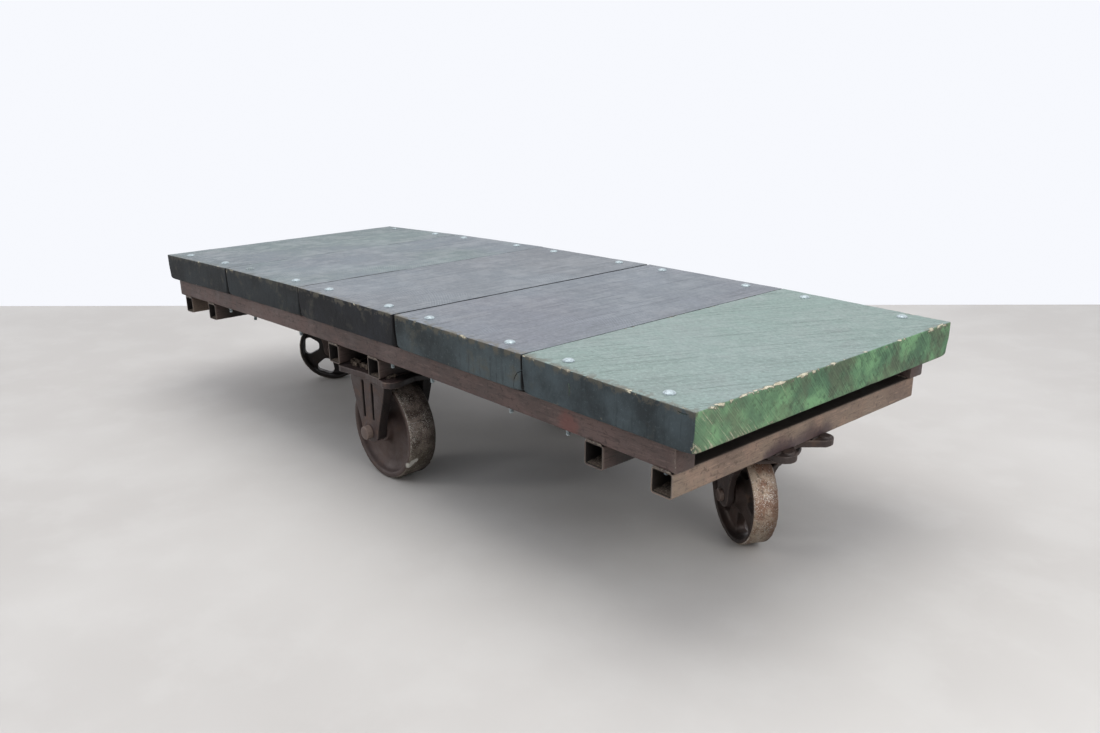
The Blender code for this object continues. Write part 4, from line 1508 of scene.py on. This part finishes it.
def build_sky():
    """Even sky light, brighter overhead, and a steady tone where the camera sees it."""
    world = bpy.data.worlds.new("studio")
    world.use_nodes = True
    add, link = world.node_tree.nodes.new, world.node_tree.links.new
    sky = world.node_tree.nodes["Background"]
    height = add("ShaderNodeSeparateXYZ")
    fade = add("ShaderNodeMapRange")
    fade.interpolation_type = "SMOOTHSTEP"
    for socket, value in zip(fade.inputs[1:5], (0.0, 0.8, HORIZON_LIGHT, ZENITH_LIGHT)):
        socket.default_value = value
    choose = add("ShaderNodeMix")
    choose.inputs[3].default_value = SEEN_SKY
    link(add("ShaderNodeTexCoord").outputs["Generated"], height.inputs[0])
    link(height.outputs["Z"], fade.inputs[0])
    link(add("ShaderNodeLightPath").outputs["Is Camera Ray"], choose.inputs[0])
    link(fade.outputs[0], choose.inputs[2])
    link(choose.outputs[0], sky.inputs[1])
    sky.inputs[0].default_value = (0.90, 0.93, 1.0, 1)
    bpy.context.scene.world = world


def build_light():
    build_sky()
    area_light("overhead", (0.2, 0.2, 3.6), (0, 0, 0.3), (1.0, 0.985, 0.96), size=3.0, power=66)
    area_light("right_side", (3.5, -0.5, 2.0), (0.8, 0, 0.3), (1.0, 0.99, 0.97), size=1.6, power=32)
    area_light("left_front", (-3.8, -5.4, 2.4), (0, -0.3, 0.15), (1.0, 0.985, 0.96), size=1.8, power=76)
    bpy.context.scene.view_settings.view_transform = "Standard"


# ---------------------------------------------------------------- the whole truck


def plank_timbers():
    """A material for each plank. The green one has a slanting grain and no saw marks on its top."""
    # The flank colours sit far below the tops: dark stained paint, and painted shade on the sides.
    charcoal, tint, flank = (0.134, 0.152, 0.170), (0.122, 0.158, 0.154), (0.0115, 0.0145, 0.0165)
    green, green_tint, green_flank = (0.165, 0.220, 0.200), (0.178, 0.230, 0.215), (0.032, 0.043, 0.048)
    return [
        timber("timber_1", charcoal, tint, flank, 1.0),
        timber("timber_2", charcoal, tint, flank, 2.3),
        timber("timber_3", (0.134, 0.144, 0.158), charcoal, (0.0076, 0.0088, 0.0116), 3.7, 0.75),
        timber("timber_4", (0.130, 0.138, 0.158), charcoal, (0.035, 0.046, 0.050), 5.1, 0.85),
        timber("timber_5", green, green_tint, green_flank, 6.6, 0.7, True, 25.0, 0.0),
    ]


def wheel_irons():
    """Materials of the wheels. The rigid ones carry a smear of pale paint, in spots round the tread."""
    smear = []
    spots = ((-33, -0.031, 0.010), (-29, -0.024, 0.009), (-27, -0.016, 0.007), (-37, 0.033, 0.006))
    for angle, depth, reach in spots:
        smear.append((Vector(spin_point(0.1165, depth, radians(angle))), reach, (0.55, 0.53, 0.48)))
    looks = {
        "rigid": [(0.062, 0.042, 0.037), (0.084, 0.056, 0.048), (0.270, 0.215, 0.180), (0.085, 0.058, 0.044)],
        "left": [(0.020, 0.017, 0.016), (0.040, 0.030, 0.026), (0.140, 0.115, 0.085), (0.085, 0.058, 0.040)],
        "right": [(0.030, 0.022, 0.019), (0.055, 0.034, 0.027), (0.520, 0.405, 0.305), (0.320, 0.185, 0.125)],
    }
    lights = {"rigid": (0.56, 0.52, 0.46), "left": (0.40, 0.34, 0.28), "right": (0.80, 0.74, 0.66)}
    smears = {"rigid": smear}
    return {k: wheel_iron(f"{k}_wheel_iron", *looks[k], lights[k], smears.get(k, ())) for k in looks}


def dress_inner_parts():
    dress_cad("kingpin", plain_metal("kingpin_steel", (0.10, 0.085, 0.075), (0.035, 0.028, 0.024), 0.5, 0.7))
    dress_cad("ball_ring", plain_metal("ball_steel", (0.22, 0.21, 0.20), (0.07, 0.06, 0.05), 0.35, 0.9))
    for prefix in ("rigid_bushing", "end_bushing"):
        bronze = plain_metal(f"{prefix}_bronze", (0.24, 0.17, 0.09), (0.08, 0.055, 0.035), 0.45, 0.8)
        dress_cad(prefix, bronze)


def build_all():
    build_planks(plank_timbers())
    build_bolts(zinc("zinc_bright"), zinc("zinc_painted", (0.17, 0.20, 0.20)))
    soil = dirt()
    frames = build_frame(weld_metal("weld_metal", (0.075, 0.055, 0.046), (0.24, 0.20, 0.16)), soil)
    build_caster_welds(frames)
    build_crusts(soil)
    wheels = wheel_irons()
    build_rigid_casters(wheels["rigid"])
    build_swivel_casters(wheels)
    dress_inner_parts()
    build_camera()
    build_room()
    build_light()


build_all()
